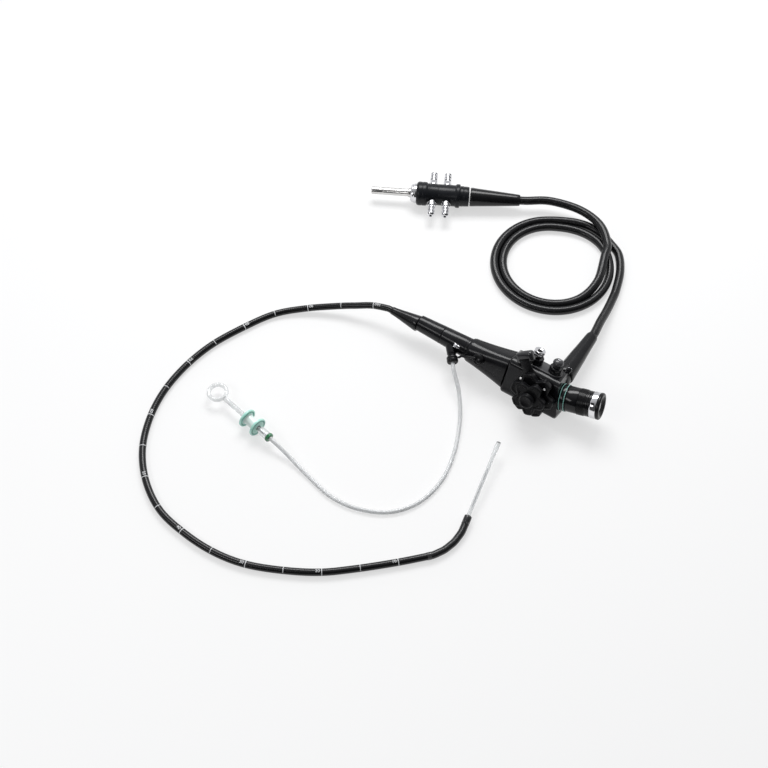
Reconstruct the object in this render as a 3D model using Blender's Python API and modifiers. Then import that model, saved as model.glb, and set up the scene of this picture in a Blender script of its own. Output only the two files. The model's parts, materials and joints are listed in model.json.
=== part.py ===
"""Flexible endoscope lying on a table.

The set is a control body with knobs, valves and an eyepiece, an insertion tube with a bending tip,
a coiled umbilical with its light guide connector, and a catheter loaded in the working channel.
Metres, +Z up. +X runs along the control body towards the eyepiece, and the table is z = 0.
"""

import math

import bmesh
import bpy
from mathutils import Matrix, Vector

for old in list(bpy.data.objects):
    bpy.data.objects.remove(old, do_unlink=True)

# Clearances
GAP = 0.0003              # between pieces that seat on each other
RUN = 0.0003              # round a shaft or stem that moves

# Control body: a rolled housing on a straight grip
AXIS_HEIGHT = 0.030       # body axis above the table
ROLL = math.radians(25)   # the valves lean back and the knobs look up by this much
HEAD_BACK = -0.050        # x where grip and housing meet
NECK_X = 0.033            # x where the eyepiece starts
KNOB_FACE = 0.020         # housing faces, measured from the axis
CABLE_FACE = 0.024
VALVE_FACE = 0.029
UNDER_FACE = 0.030
HEAD_EDGE = 0.003
GRIP_START = -0.115
GRIP_RADIUS = 0.0178
GRIP_END_KNOB_SIDE = 0.0205
GRIP_END_VALVE_SIDE = 0.0265

# Forceps section, insertion boot and biopsy port
SEAM_X = -0.159
FORCEPS_START = -0.200
FORCEPS_RADIUS_1 = 0.0118
FORCEPS_RADIUS_2 = 0.0135
FORCEPS_RADIUS_3 = 0.0152
BOOT_TIP_X = -0.245
PORT_X = -0.1486
PORT_DIRECTION = Vector((0.60, -0.79, -0.10)).normalized()
PORT_LENGTH = 0.030
PORT_RADIUS = 0.0068
CAP_RADIUS = 0.0082
CAP_LENGTH = 0.0095

# Control knobs, all on one shaft at x = 0
SHAFT_RADIUS = 0.005
LEVER_THICKNESS = 0.0032
UD_LOBES = 6
UD_RADIUS = 0.032
UD_ROOT = 0.0235
UD_FRONT = 0.034
UD_THICKNESS = 0.010
LR_LOBES = 5
LR_RADIUS = 0.0245
LR_ROOT = 0.0175
LR_FRONT = 0.046
LR_THICKNESS = 0.0092
LOCK_RADIUS = 0.0105
KNOB_EDGE = 0.001
LOCK_FRONT = 0.054
LEVER_REACH = 0.052
LEVER_ANGLE = math.radians(126)
LEVER_PAD = (0.026, 0.016, 0.0128)

# Valves
VALVE_X = (-0.0186, 0.0114)
VALVE_TOP = 0.052         # button tops, measured from the body axis
SEAT_TOP = 0.040
SEAT_RADIUS = 0.0095
STEM_RADIUS = 0.0045
BUTTON_RADIUS = 0.0078
BUTTON_TRAVEL = 0.004

# Eyepiece, turned away from the body axis
EYE_YAW = math.radians(9)
EYE_PITCH = math.radians(11)
NECK_RADIUS = 0.019
NECK_LENGTH = 0.0098
BARREL_RADIUS = 0.01825
BARREL_END = 0.044
DIOPTER_START = 0.026
DIOPTER_END = 0.036
DIOPTER_BORE = 0.0155
DIOPTER_RADIUS = 0.0188
COLLAR_END = 0.0535
EYECUP_END = 0.0583

# Umbilical and its coil
UMBILICAL_RADIUS = 0.0065
UMBILICAL_BOOT_X = 0.0185
UMBILICAL_BOOT_START = 0.031
UMBILICAL_BOOT_END = 0.122
UMBILICAL_BOOT_RADIUS = 0.0145
COIL_CENTRE = Vector((-0.098, 0.216, 0.0))
COIL_TURNS = (0.0745, 0.0873)

# Light guide connector, measured along its axis from the thin end of its boot
CONNECTOR_START = Vector((-0.1974, 0.2917, 0.0188))
CONNECTOR_HEADING = math.radians(207.7)
CONNECTOR_BOOT = 0.078
CONNECTOR_REAR = 0.094
CONNECTOR_FLANGE = 0.101
CONNECTOR_FRONT = 0.145
CONNECTOR_FACE = 0.1617
CONNECTOR_COLLAR = 0.171
CONNECTOR_TIP = 0.233
CONNECTOR_BODY_RADIUS = 0.0165
CONNECTOR_RING_RADIUS = 0.0185
NOZZLE_AT = (0.115, 0.137)
NOZZLE_REACH = 0.044
PRONG_RADIUS = 0.0052

# Insertion tube and bending section
TUBE_RADIUS = 0.0049
BEND_START = Vector((0.0014, -0.2946, 0.0054))
BEND_HEADING = math.radians(46)
LINK_PITCH = 0.0085
LINK_COUNT = 8            # hinges, turning in turn sideways and up and down
LINK_RADIUS = 0.0041
LINK_WALL = 0.0008
LINK_TONGUE = 0.0015
LINK_SLOPE = math.radians(21)
REST_SIDEWAYS = math.radians(13.5)
REST_UPWARDS = math.radians(1.5)
COVER_RADIUS = 0.00505
COVER_WALL = 0.00055
TIP_RADIUS = 0.0052
TIP_LENGTH = 0.012
CHANNEL_RADIUS = 0.0030
CHANNEL_OFFSET = 0.0017
LENS_RADIUS = 0.0012
LENS_OFFSET = -0.0031
LIGHT_RADIUS = 0.0008
LIGHT_SPREAD = 0.0032
LIGHT_OFFSET = -0.0021
SHEATH_RADIUS = 0.0027
SHEATH_FLARE = 0.0033
SHEATH_LENGTH = 0.118
WIRE_RADIUS = 0.0009
WIRE_REACH = 0.072

# Catheter and its handle
CATHETER_RADIUS = 0.003
HANDLE_RING = Vector((-0.380, -0.247, 0.0144))
HANDLE_HEADING = math.radians(-11.2)
HANDLE_RING_RADIUS = 0.0125
HANDLE_RING_WIRE = 0.003
ROD_RADIUS = 0.0035
SPOOL_BACK = 0.0596
SPOOL_FRONT = 0.0841
SPOOL_RADIUS = 0.014
SPOOL_HUB = 0.0075
SPOOL_FLANGE = 0.003
BARREL_START = 0.0875
BARREL_FRONT = 0.1035
HANDLE_BARREL_RADIUS = 0.0058
HANDLE_COLLAR_RADIUS = 0.0066
HANDLE_TIP = 0.108

BLACK = (0.012, 0.012, 0.014)
RUBBER = (0.010, 0.010, 0.011)
CHROME = (0.78, 0.78, 0.80)
TEAL = (0.03, 0.42, 0.38)
CLEAR = (0.82, 0.86, 0.88)
WHITE = (0.85, 0.86, 0.86)
GREEN = (0.05, 0.45, 0.16)

VALVE_WAY = Vector((0, math.sin(ROLL), math.cos(ROLL)))
KNOB_WAY = Vector((0, -math.cos(ROLL), math.sin(ROLL)))

parts = bpy.data.collections.new("flexible_endoscope")
cutters = bpy.data.collections.new("cutters")
bpy.context.scene.collection.children.link(parts)
bpy.context.scene.collection.children.link(cutters)


def body_point(x, valve=0.0, knob=0.0):
    """A point in the rolled directions of the control body."""
    return Vector((x, 0, AXIS_HEIGHT)) + VALVE_WAY * valve + KNOB_WAY * knob


def axes(at, along, up=(0, 0, 1)):
    """A placing matrix with local Z along one direction and local X towards another."""
    z = Vector(along).normalized()
    x = (Vector(up) - z * z.dot(Vector(up))).normalized()
    placing = Matrix((x, z.cross(x), z)).transposed().to_4x4()
    placing.translation = Vector(at)
    return placing


def paint(obj, colour, rough, metal=0.0, alpha=1.0):
    """Give an object its own plain material."""
    material = bpy.data.materials.new(obj.name)
    material.use_nodes = True
    shader = material.node_tree.nodes["Principled BSDF"]
    shader.inputs["Base Color"].default_value = (*colour, 1)
    shader.inputs["Roughness"].default_value = rough
    shader.inputs["Metallic"].default_value = metal
    shader.inputs["Alpha"].default_value = alpha
    obj.data.materials.clear()
    obj.data.materials.append(material)
    return obj


def add_object(name, data, placing, collection=parts):
    obj = bpy.data.objects.new(name, data)
    collection.objects.link(obj)
    obj.matrix_world = placing
    if collection is cutters:
        obj.display_type = "WIRE"
        obj.hide_render = True
    return obj


def turned(name, profile, placing, steps=20, collection=parts):
    """Turn a profile of (radius, height) points about local Z, listed from the top down."""
    edges = [(i, i + 1) for i in range(len(profile) - 1)]
    if profile[0][0] > 0:
        edges.append((len(profile) - 1, 0))
    mesh = bpy.data.meshes.new(name)
    mesh.from_pydata([(radius, 0, height) for radius, height in profile], edges, [])
    obj = add_object(name, mesh, placing, collection)
    screw = obj.modifiers.new("Turn", "SCREW")
    screw.steps = screw.render_steps = steps
    screw.use_merge_vertices = True
    screw.merge_threshold = 0.00001
    screw.use_smooth_shade = True
    return obj


def rod(name, radius, low, high, placing, steps=20, collection=parts):
    return turned(name, [(0, high), (radius, high), (radius, low), (0, low)],
                  placing, steps, collection)


def to_mesh(obj, collection):
    """Replace a curve object by its mesh, with the caps welded."""
    bpy.context.view_layer.update()
    evaluated = obj.evaluated_get(bpy.context.evaluated_depsgraph_get())
    mesh = bpy.data.meshes.new_from_object(evaluated)
    work = bmesh.new()
    work.from_mesh(mesh)
    bmesh.ops.remove_doubles(work, verts=work.verts, dist=0.000001)
    work.to_mesh(mesh)
    work.free()
    name, placing = obj.name, obj.matrix_world.copy()
    bpy.data.objects.remove(obj, do_unlink=True)
    return add_object(name, mesh, placing, collection)


def outline(name, loops, thickness, placing, collection=parts):
    """Extrude closed loops of (x, y) points evenly about their plane."""
    curve = bpy.data.curves.new(name, "CURVE")
    curve.dimensions = "2D"
    curve.fill_mode = "BOTH"
    curve.extrude = thickness / 2
    for loop in loops:
        spline = curve.splines.new("POLY")
        spline.points.add(len(loop) - 1)
        for point, (x, y) in zip(spline.points, loop):
            point.co = (x, y, 0, 1)
        spline.use_cyclic_u = True
    return to_mesh(add_object(name, curve, placing, collection), collection)


def tube(name, points, radius, fill=True, resolution=2):
    """A round bar through points."""
    curve = bpy.data.curves.new(name, "CURVE")
    curve.dimensions = "3D"
    curve.bevel_depth = radius
    curve.bevel_resolution = resolution
    curve.use_fill_caps = fill
    spline = curve.splines.new("POLY")
    spline.points.add(len(points) - 1)
    for point, place in zip(spline.points, points):
        point.co = (*place, 1)
    return add_object(name, curve, Matrix.Identity(4))


def boolean(obj, tool, operation="DIFFERENCE"):
    step = obj.modifiers.new(operation.capitalize(), "BOOLEAN")
    step.operation = operation
    step.object = tool
    return obj


def bevel(obj, width, segments=1, angle=30):
    step = obj.modifiers.new("Edges", "BEVEL")
    step.width = width
    step.segments = segments
    step.angle_limit = math.radians(angle)
    return obj


def smooth_route(points, step):
    """Points about one step apart on a smooth line through the given ones."""
    points = [Vector(p) for p in points]
    ends = [2 * points[0] - points[1]] + points + [2 * points[-1] - points[-2]]
    route = [points[0]]
    for a, b, c, d in zip(ends, ends[1:], ends[2:], ends[3:]):
        count = max(1, round((c - b).length / step))
        for i in range(1, count + 1):
            t = i / count
            route.append(0.5 * (2 * b + (c - a) * t + (2 * a - 5 * b + 4 * c - d) * t * t
                                + (3 * b - a - 3 * c + d) * t ** 3))
    return route


def circle(radius, count, start=0.0, end=math.tau, centre=(0, 0)):
    """Points on an arc, without its last point when it is a full circle."""
    steps = count if end - start >= math.tau else count - 1
    return [(centre[0] + radius * math.cos(start + (end - start) * i / steps),
             centre[1] + radius * math.sin(start + (end - start) * i / steps))
            for i in range(count)]


def lobed(lobes, radius, root, per_lobe=6):
    """A knob outline whose lobes have flat ends and open hollows."""
    points = []
    for i in range(lobes * per_lobe):
        angle = math.tau * i / (lobes * per_lobe)
        wave = 0.5 + 0.5 * math.cos(lobes * angle)
        share = min(1.0, 1.25 * wave ** 0.8)
        reach = root + (radius - root) * share
        points.append((reach * math.cos(angle), reach * math.sin(angle)))
    return points


# Head housing: an eight-sided block along X with a flat underside that rests on the table.
# In the outline, x is the knob direction and y the valve direction.
def underside(knob):
    return (-UNDER_FACE - knob * math.sin(ROLL)) / math.cos(ROLL)


head_bottom = underside(-0.0067)
head_outline = [(KNOB_FACE, 0.024), (0.014, VALVE_FACE), (-0.016, VALVE_FACE),
                (-CABLE_FACE, 0.021), (-CABLE_FACE, underside(-CABLE_FACE)),
                (-0.0067, head_bottom), (0.014, head_bottom), (KNOB_FACE, -0.024)]
head_end = NECK_X + 0.006
head_middle = body_point((HEAD_BACK + head_end) / 2)
head_placing = Matrix((KNOB_WAY, VALVE_WAY, (-1, 0, 0))).transposed().to_4x4()
head_placing.translation = head_middle
head = outline("head_housing", [head_outline], head_end - HEAD_BACK, head_placing)
bevel(head, HEAD_EDGE, 2)
eye_way = Vector((math.cos(EYE_PITCH) * math.cos(EYE_YAW),
                  math.cos(EYE_PITCH) * math.sin(EYE_YAW), math.sin(EYE_PITCH)))
eye = axes((NECK_X, 0, AXIS_HEIGHT), eye_way)

# Socket of the umbilical on the far side of the housing, square to its boot
boot_way = Vector((0, 1, -0.088)).normalized()
boot_root = Vector((UMBILICAL_BOOT_X, 0.010, AXIS_HEIGHT + 0.0005))
boot_axes = axes(boot_root, boot_way)
socket_end = UMBILICAL_BOOT_START - boot_root.y
boolean(head, rod("umbilical_socket", UMBILICAL_BOOT_RADIUS - 0.0015, 0, socket_end,
                  boot_axes, 20, cutters), "UNION")
boolean(head, rod("head_end_cut", 0.08, 0, 0.03, eye, 8, cutters))
paint(head, BLACK, 0.35)


# Grip: a loft from a round end to a squared end that meets the housing
def squircle(wide, tall, power, count=24):
    """Points on a rounded square, as distances along the knob and valve directions."""
    points = []
    for i in range(count):
        c, s = math.cos(math.tau * i / count), math.sin(math.tau * i / count)
        scale = (abs(c) ** power + abs(s) ** power) ** (-1 / power)
        points.append((wide * c * scale, tall * s * scale))
    return points


def loft(name, rings):
    """Skin closed rings of points and close both ends."""
    work = bmesh.new()
    rows = [[work.verts.new(p) for p in ring] for ring in rings]
    for low, high in zip(rows, rows[1:]):
        for i in range(len(low)):
            j = (i + 1) % len(low)
            work.faces.new((low[i], low[j], high[j], high[i]))
    work.faces.new(rows[0][::-1])
    work.faces.new(rows[-1])
    bmesh.ops.recalc_face_normals(work, faces=work.faces)
    mesh = bpy.data.meshes.new(name)
    work.to_mesh(mesh)
    work.free()
    return add_object(name, mesh, Matrix.Identity(4))


grip_rings = []
for share in (0, 0.12, 0.45, 0.8, 1):
    x = GRIP_START + GAP + (HEAD_BACK - GAP - GRIP_START - GAP) * share
    grow = share ** 1.5
    wide = GRIP_RADIUS + (GRIP_END_KNOB_SIDE - GRIP_RADIUS) * grow
    tall = GRIP_RADIUS + (GRIP_END_VALVE_SIDE - GRIP_RADIUS) * grow
    if share == 0:
        wide, tall = wide - 0.001, tall - 0.001
    grip_rings.append([body_point(x, v, k) for k, v in squircle(wide, tall, 2 + 1.6 * share)])
paint(loft("grip", grip_rings), BLACK, 0.4)

# Forceps section: two turned sleeves with a seam, and the port branch on the second one
body_axis = axes((0, 0, AXIS_HEIGHT), (1, 0, 0))
paint(turned("forceps_sleeve_rear", [
    (0, SEAM_X - GAP), (FORCEPS_RADIUS_2 - 0.0004, SEAM_X - GAP),
    (FORCEPS_RADIUS_2, SEAM_X - 0.0008), (FORCEPS_RADIUS_1, FORCEPS_START + 0.004),
    (FORCEPS_RADIUS_1 - 0.0006, FORCEPS_START + GAP), (0, FORCEPS_START + GAP)], body_axis),
    BLACK, 0.4)
sleeve = turned("forceps_sleeve", [
    (0, GRIP_START), (FORCEPS_RADIUS_3 - 0.0006, GRIP_START),
    (FORCEPS_RADIUS_3, GRIP_START - 0.002), (FORCEPS_RADIUS_2 + 0.0004, SEAM_X + 0.006),
    (FORCEPS_RADIUS_2, SEAM_X), (0, SEAM_X)], body_axis)
port_base = Vector((PORT_X, 0, AXIS_HEIGHT))
port = axes(port_base, PORT_DIRECTION)
boolean(sleeve, turned("port_branch", [
    (0, PORT_LENGTH), (PORT_RADIUS - 0.0012, PORT_LENGTH), (PORT_RADIUS - 0.0010, 0.026),
    (PORT_RADIUS, 0.024), (PORT_RADIUS + 0.0012, 0.006), (0, 0.006)], port, 20, cutters), "UNION")
paint(sleeve, BLACK, 0.4)
boot_back = BOOT_TIP_X
paint(turned("insertion_boot", [
    (0, FORCEPS_START), (FORCEPS_RADIUS_1 - 0.0002, FORCEPS_START),
    (FORCEPS_RADIUS_1, FORCEPS_START - 0.002), (0.0088, FORCEPS_START - 0.022),
    (0.0062, BOOT_TIP_X + 0.006), (0.0058, BOOT_TIP_X), (0, BOOT_TIP_X)],
    axes((0, 0, AXIS_HEIGHT), (1, 0.012, 0))), RUBBER, 0.5)

# Rubber biopsy valve on the port, with its lid open on a strap
cap_low = PORT_LENGTH + GAP
cap_high = cap_low + CAP_LENGTH
catheter_bore = CATHETER_RADIUS + RUN
paint(turned("biopsy_valve", [
    (CAP_RADIUS - 0.0012, cap_high), (CAP_RADIUS, cap_high - 0.0015), (CAP_RADIUS, cap_low + 0.001),
    (CAP_RADIUS - 0.0008, cap_low), (catheter_bore, cap_low), (catheter_bore, cap_high)],
    port, 20), RUBBER, 0.45)
lid_way = Vector((0, -0.80, 0.60))
lid_base = Vector((-0.0925, 0, AXIS_HEIGHT)) + lid_way * (GRIP_RADIUS + 0.0022)
lid_axes = axes(lid_base, lid_way)
lid = turned("biopsy_lid", [
    (0, 0.0095), (0.0030, 0.0095), (0.0036, 0.0085), (0.0036, 0.0045), (0.0078, 0.0045),
    (0.0082, 0.0037), (0.0082, 0), (0, 0)], lid_axes, 20)
strap_side = Vector((0.72, 0.47, 0.50))
strap_side = (strap_side - PORT_DIRECTION * strap_side.dot(PORT_DIRECTION)).normalized()
strap_root = port_base + PORT_DIRECTION * (cap_low + 0.004) + strap_side * (CAP_RADIUS + 0.0018)
strap = tube("lid_strap", smooth_route([
    strap_root, Vector((-0.1130, -0.0215, 0.0385)), lid_base + lid_way * 0.0022
    + Vector((-0.004, 0, 0))], 0.006), 0.0016)
strap = to_mesh(strap, cutters)
boolean(lid, strap, "UNION")
paint(lid, RUBBER, 0.5)

# Knob stack. Heights are distances from the body axis along the knob direction.
knobs = axes(body_point(0), KNOB_WAY, (1, 0, 0))
shaft_end = LOCK_FRONT - 0.0045
paint(turned("knob_shaft", [
    (0, shaft_end), (SHAFT_RADIUS - 0.0005, shaft_end), (SHAFT_RADIUS, shaft_end - 0.0005),
    (SHAFT_RADIUS, KNOB_FACE + GAP), (0, KNOB_FACE + GAP)], knobs, 20), CHROME, 0.25, 1)


def knob(name, lobes, radius, root, front, thickness, hub, hub_back):
    """A lobed knob with a hub that runs on the shaft."""
    bore = circle(SHAFT_RADIUS + RUN, 20)[::-1]
    placing = knobs @ Matrix.Translation((0, 0, front - thickness / 2))
    wheel = outline(name, [lobed(lobes, radius, root), bore], thickness, placing)
    if hub:
        ring = turned(name + "_hub", [
            (hub, front - thickness + 0.0025), (hub, hub_back), (SHAFT_RADIUS + 2 * RUN, hub_back),
            (SHAFT_RADIUS + 2 * RUN, front - thickness + 0.0025)], knobs, 20, cutters)
        boolean(wheel, ring, "UNION")
    bevel(wheel, KNOB_EDGE)
    return paint(wheel, BLACK, 0.35)


knob("ud_knob", UD_LOBES, UD_RADIUS, UD_ROOT, UD_FRONT, UD_THICKNESS, 0, 0)
knob("lr_knob", LR_LOBES, LR_RADIUS, LR_ROOT, LR_FRONT, LR_THICKNESS, 0.013, UD_FRONT + GAP)
lock_back = LR_FRONT + 0.0004
paint(turned("lr_lock_knob", [
    (0, LOCK_FRONT), (LOCK_RADIUS - 0.0018, LOCK_FRONT), (LOCK_RADIUS, LOCK_FRONT - 0.0016),
    (LOCK_RADIUS, lock_back), (SHAFT_RADIUS + RUN, lock_back),
    (SHAFT_RADIUS + RUN, shaft_end + GAP), (0, shaft_end + GAP)], knobs, 20), BLACK, 0.35)

# Lock lever of the larger knob: a hub and an arm behind the knob, with a thumb pad
lever_z = KNOB_FACE + 0.0004 + LEVER_THICKNESS / 2
arm = Vector((math.cos(LEVER_ANGLE), math.sin(LEVER_ANGLE)))
side = Vector((-arm.y, arm.x))
hub_turn = math.radians(38)
lever_outline = circle(0.014, 16, LEVER_ANGLE + hub_turn, LEVER_ANGLE + math.tau - hub_turn)
pad_in = LEVER_REACH - LEVER_PAD[1] / 2
lever_outline += [tuple(arm * pad_in - side * 0.007), tuple(arm * LEVER_REACH - side * 0.009),
                  tuple(arm * LEVER_REACH + side * 0.009), tuple(arm * pad_in + side * 0.007)]
lever = outline("ud_lock_lever", [lever_outline, circle(SHAFT_RADIUS + RUN, 20)[::-1]],
                LEVER_THICKNESS, knobs @ Matrix.Translation((0, 0, lever_z)))
bpy.ops.mesh.primitive_cube_add(size=1)
pad = bpy.context.object
pad.name = "lever_pad"
for holder in list(pad.users_collection):
    holder.objects.unlink(pad)
cutters.objects.link(pad)
pad.data.transform(Matrix.Diagonal((LEVER_PAD[0], LEVER_PAD[1], LEVER_PAD[2], 1)))
pad_front = lever_z + LEVER_THICKNESS / 2
pad.matrix_world = (knobs @ Matrix.Translation((0, 0, pad_front - LEVER_PAD[2] / 2))
                    @ Matrix.Rotation(LEVER_ANGLE - math.pi / 2, 4, "Z")
                    @ Matrix.Translation((0, LEVER_REACH, 0)))
pad.display_type = "WIRE"
pad.hide_render = True
bevel(pad, 0.004, 2)
boolean(lever, pad, "UNION")
paint(lever, BLACK, 0.4)

# Valves: a socket on the housing and a button whose stem slides in it
for name, x, dish in (("suction", VALVE_X[0], 0.0012), ("air_water", VALVE_X[1], 0.0)):
    place = axes(body_point(x), VALVE_WAY, (1, 0, 0))
    seat_low = VALVE_FACE + GAP
    bore = STEM_RADIUS + RUN
    paint(turned(name + "_socket", [
        (SEAT_RADIUS - 0.001, SEAT_TOP), (SEAT_RADIUS, SEAT_TOP - 0.001), (SEAT_RADIUS, seat_low),
        (bore, seat_low), (bore, SEAT_TOP)], place, 20), BLACK, 0.35)
    cap_under = SEAT_TOP + BUTTON_TRAVEL + 0.0005
    stem_low = seat_low + BUTTON_TRAVEL + 0.0005
    paint(turned(name + "_button", [
        (0, VALVE_TOP - dish), (BUTTON_RADIUS - 0.003, VALVE_TOP - dish),
        (BUTTON_RADIUS - 0.0014, VALVE_TOP), (BUTTON_RADIUS, VALVE_TOP - 0.0014),
        (BUTTON_RADIUS, cap_under + 0.0015), (BUTTON_RADIUS - 0.0015, cap_under),
        (STEM_RADIUS, cap_under), (STEM_RADIUS, stem_low), (0, stem_low)], place, 20),
        CHROME, 0.2, 1)

# Vent cap on the edge between the housing's valve side and cable side
vent_way = (VALVE_WAY - KNOB_WAY).normalized()
vent_low = ((VALVE_FACE + 0.021) / 2 * VALVE_WAY - (CABLE_FACE + 0.016) / 2 * KNOB_WAY).length
vent_at = body_point(0.0235, 0.0250, -0.0200) + vent_way * GAP
paint(turned("vent_cap", [
    (0, 0.0085), (0.0030, 0.0085), (0.0042, 0.0070), (0.0042, 0.0035), (0.0033, 0.0030),
    (0.0033, 0), (0, 0)], axes(vent_at, vent_way, (1, 0, 0)), 16), CHROME, 0.25, 1)

# Eyepiece. Heights are distances from the end of the housing along the eyepiece.
ring_at = (0.0016, NECK_LENGTH - 0.0016)
groove = 0.0007
neck_profile = [(0, NECK_LENGTH), (NECK_RADIUS, NECK_LENGTH)]
for middle in reversed(ring_at):
    neck_profile += [(NECK_RADIUS, middle + 0.0008), (NECK_RADIUS - groove, middle + 0.0008),
                     (NECK_RADIUS - groove, middle - 0.0008), (NECK_RADIUS, middle - 0.0008)]
neck_profile += [(NECK_RADIUS, GAP), (0, GAP)]
paint(turned("eyepiece_neck", neck_profile, eye), BLACK, 0.35)
for name, middle in zip(("teal_ring_rear", "teal_ring_front"), ring_at):
    inner, outer = NECK_RADIUS - groove + GAP, NECK_RADIUS + 0.0005
    paint(turned(name, [
        (outer, middle + 0.0005), (outer, middle - 0.0005), (inner, middle - 0.0005),
        (inner, middle + 0.0005)], eye), TEAL, 0.4)
barrel_low = NECK_LENGTH + GAP
journal = DIOPTER_BORE - RUN
barrel_profile = [(0, BARREL_END), (BARREL_RADIUS, BARREL_END), (BARREL_RADIUS, DIOPTER_END + GAP),
                  (journal, DIOPTER_END + GAP), (journal, DIOPTER_START - GAP),
                  (BARREL_RADIUS, DIOPTER_START - GAP)]
barrel_profile += [(BARREL_RADIUS, barrel_low), (0, barrel_low)]
paint(turned("eyepiece_barrel", barrel_profile, eye), BLACK, 0.35)
ribs = []
rib_count = 2
rib_pitch = (DIOPTER_END - DIOPTER_START) / rib_count
for i in range(rib_count):
    top = DIOPTER_END - rib_pitch * i
    ribs += [(DIOPTER_RADIUS, top), (DIOPTER_RADIUS, top - rib_pitch * 0.62),
             (DIOPTER_RADIUS - 0.0007, top - rib_pitch * 0.70),
             (DIOPTER_RADIUS - 0.0007, top - rib_pitch * 0.92)]
ribs[-1] = (DIOPTER_RADIUS - 0.0007, DIOPTER_START)
paint(turned("diopter_ring", ribs + [(DIOPTER_BORE, DIOPTER_START), (DIOPTER_BORE, DIOPTER_END)],
             eye), BLACK, 0.5)
collar_low = BARREL_END + GAP
paint(turned("eyepiece_collar", [
    (0, COLLAR_END), (NECK_RADIUS - 0.0006, COLLAR_END), (NECK_RADIUS, COLLAR_END - 0.0006),
    (NECK_RADIUS, collar_low + 0.0012), (BARREL_RADIUS, collar_low), (0, collar_low)], eye),
    CHROME, 0.2, 1)
cup_low = COLLAR_END + GAP
lens_top = cup_low + 0.0018
paint(turned("eyecup", [
    (0.0150, EYECUP_END), (NECK_RADIUS - 0.0014, EYECUP_END), (NECK_RADIUS, EYECUP_END - 0.0016),
    (NECK_RADIUS, cup_low), (0.0090 + GAP, cup_low), (0.0090 + GAP, lens_top)], eye),
    RUBBER, 0.5)
paint(rod("eyepiece_lens", 0.0090, cup_low, lens_top - GAP, eye), (0.02, 0.02, 0.03), 0.05)

# Umbilical boot and the cable up to the coil
boot_low = socket_end + GAP
boot_length = UMBILICAL_BOOT_END - UMBILICAL_BOOT_START
boot_high = boot_low + boot_length
boot_tip = UMBILICAL_RADIUS + 0.0022
paint(turned("umbilical_boot", [
    (0, boot_high), (boot_tip - 0.0008, boot_high), (boot_tip, boot_high - 0.0015),
    (boot_tip + 0.0031, boot_low + boot_length * 0.48), (UMBILICAL_BOOT_RADIUS, boot_low + 0.004),
    (UMBILICAL_BOOT_RADIUS - 0.001, boot_low), (0, boot_low)], boot_axes), RUBBER, 0.45)
cable_start = boot_axes @ Vector((0, 0, boot_high + GAP))
lead_in = [boot_axes @ Vector((0, 0, boot_high + 0.008)), (0.0155, 0.152, 0.0165),
           (0.0128, 0.180, 0.0110), (0.0096, 0.204, 0.0078), (0.0056, 0.226, 0.0067),
           (-0.0050, 0.260, 0.0067), (-0.0210, 0.287, 0.0067)]
beside_coil = COIL_TURNS[1] + 2 * UMBILICAL_RADIUS
for angle, away in ((55, 0.0014), (68, 0)):
    lead_in.append(COIL_CENTRE + (beside_coil + away) * Vector(
        (math.cos(math.radians(angle)), math.sin(math.radians(angle)), 0)) + Vector((0, 0, 0.0067)))
lead_in = [cable_start] + smooth_route(lead_in, 0.016)
paint(tube("umbilical_lead_in", lead_in, UMBILICAL_RADIUS), RUBBER, 0.3)

# The coil: two turns side by side, drawn as one turned ring
strand = UMBILICAL_RADIUS
inner_turn, outer_turn = COIL_TURNS
waist = math.sqrt(strand ** 2 - ((outer_turn - inner_turn) / 2) ** 2)
waist_turn = math.asin(waist / strand)
coil_profile = [(r, h + strand + 0.0002) for r, h in
                circle(strand, 7, math.pi - waist_turn, waist_turn - math.pi, (outer_turn, 0))
                + circle(strand, 7, -waist_turn, waist_turn - math.tau, (inner_turn, 0))[1:-1]]
paint(turned("umbilical_coil", coil_profile, Matrix.Translation(COIL_CENTRE), 32), RUBBER, 0.3)
over = 3 * UMBILICAL_RADIUS + 0.0006
lead_out = [COIL_CENTRE + Vector((inner_turn * math.cos(math.radians(a)),
                                  inner_turn * math.sin(math.radians(a)), over))
            for a in (-30, -8, 14)]
lead_out += [Vector((-0.0345, 0.262, over)), Vector((-0.0420, 0.286, over)),
             Vector((-0.0695, 0.314, over)), Vector((-0.110, 0.324, over)),
             Vector((-0.1575, 0.315, over - 0.0003)), CONNECTOR_START]
connector_way = Vector((math.cos(CONNECTOR_HEADING), math.sin(CONNECTOR_HEADING), 0))
lead_out[-1] = CONNECTOR_START - connector_way * 0.008
lead_out = smooth_route(lead_out, 0.016) + [CONNECTOR_START - connector_way * GAP]
paint(tube("umbilical_lead_out", lead_out, UMBILICAL_RADIUS), RUBBER, 0.3)

# Light guide connector
plug = axes(CONNECTOR_START, connector_way)
paint(turned("light_guide_boot", [
    (0, CONNECTOR_BOOT), (0.0142, CONNECTOR_BOOT), (0.0146, CONNECTOR_BOOT - 0.002),
    (0.0118, 0.040), (0.0088, 0.0015), (0.0080, 0), (0, 0)], plug), RUBBER, 0.45)
seal_end = CONNECTOR_BOOT + GAP + 0.0014
paint(rod("light_guide_seal", 0.0149, CONNECTOR_BOOT + GAP, seal_end, plug), WHITE, 0.4)
ring, body_r = CONNECTOR_RING_RADIUS, CONNECTOR_BODY_RADIUS
paint(turned("light_guide_body", [
    (0, CONNECTOR_FACE), (0.0168, CONNECTOR_FACE), (ring, CONNECTOR_FACE - 0.003),
    (ring, CONNECTOR_FRONT + 0.002), (body_r, CONNECTOR_FRONT), (body_r, CONNECTOR_FLANGE),
    (ring, CONNECTOR_FLANGE - 0.0015), (ring, CONNECTOR_REAR + 0.001),
    (0.0158, CONNECTOR_REAR), (0.0152, seal_end + GAP + 0.001), (0.0146, seal_end + GAP),
    (0, seal_end + GAP)], plug), BLACK, 0.4)
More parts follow.
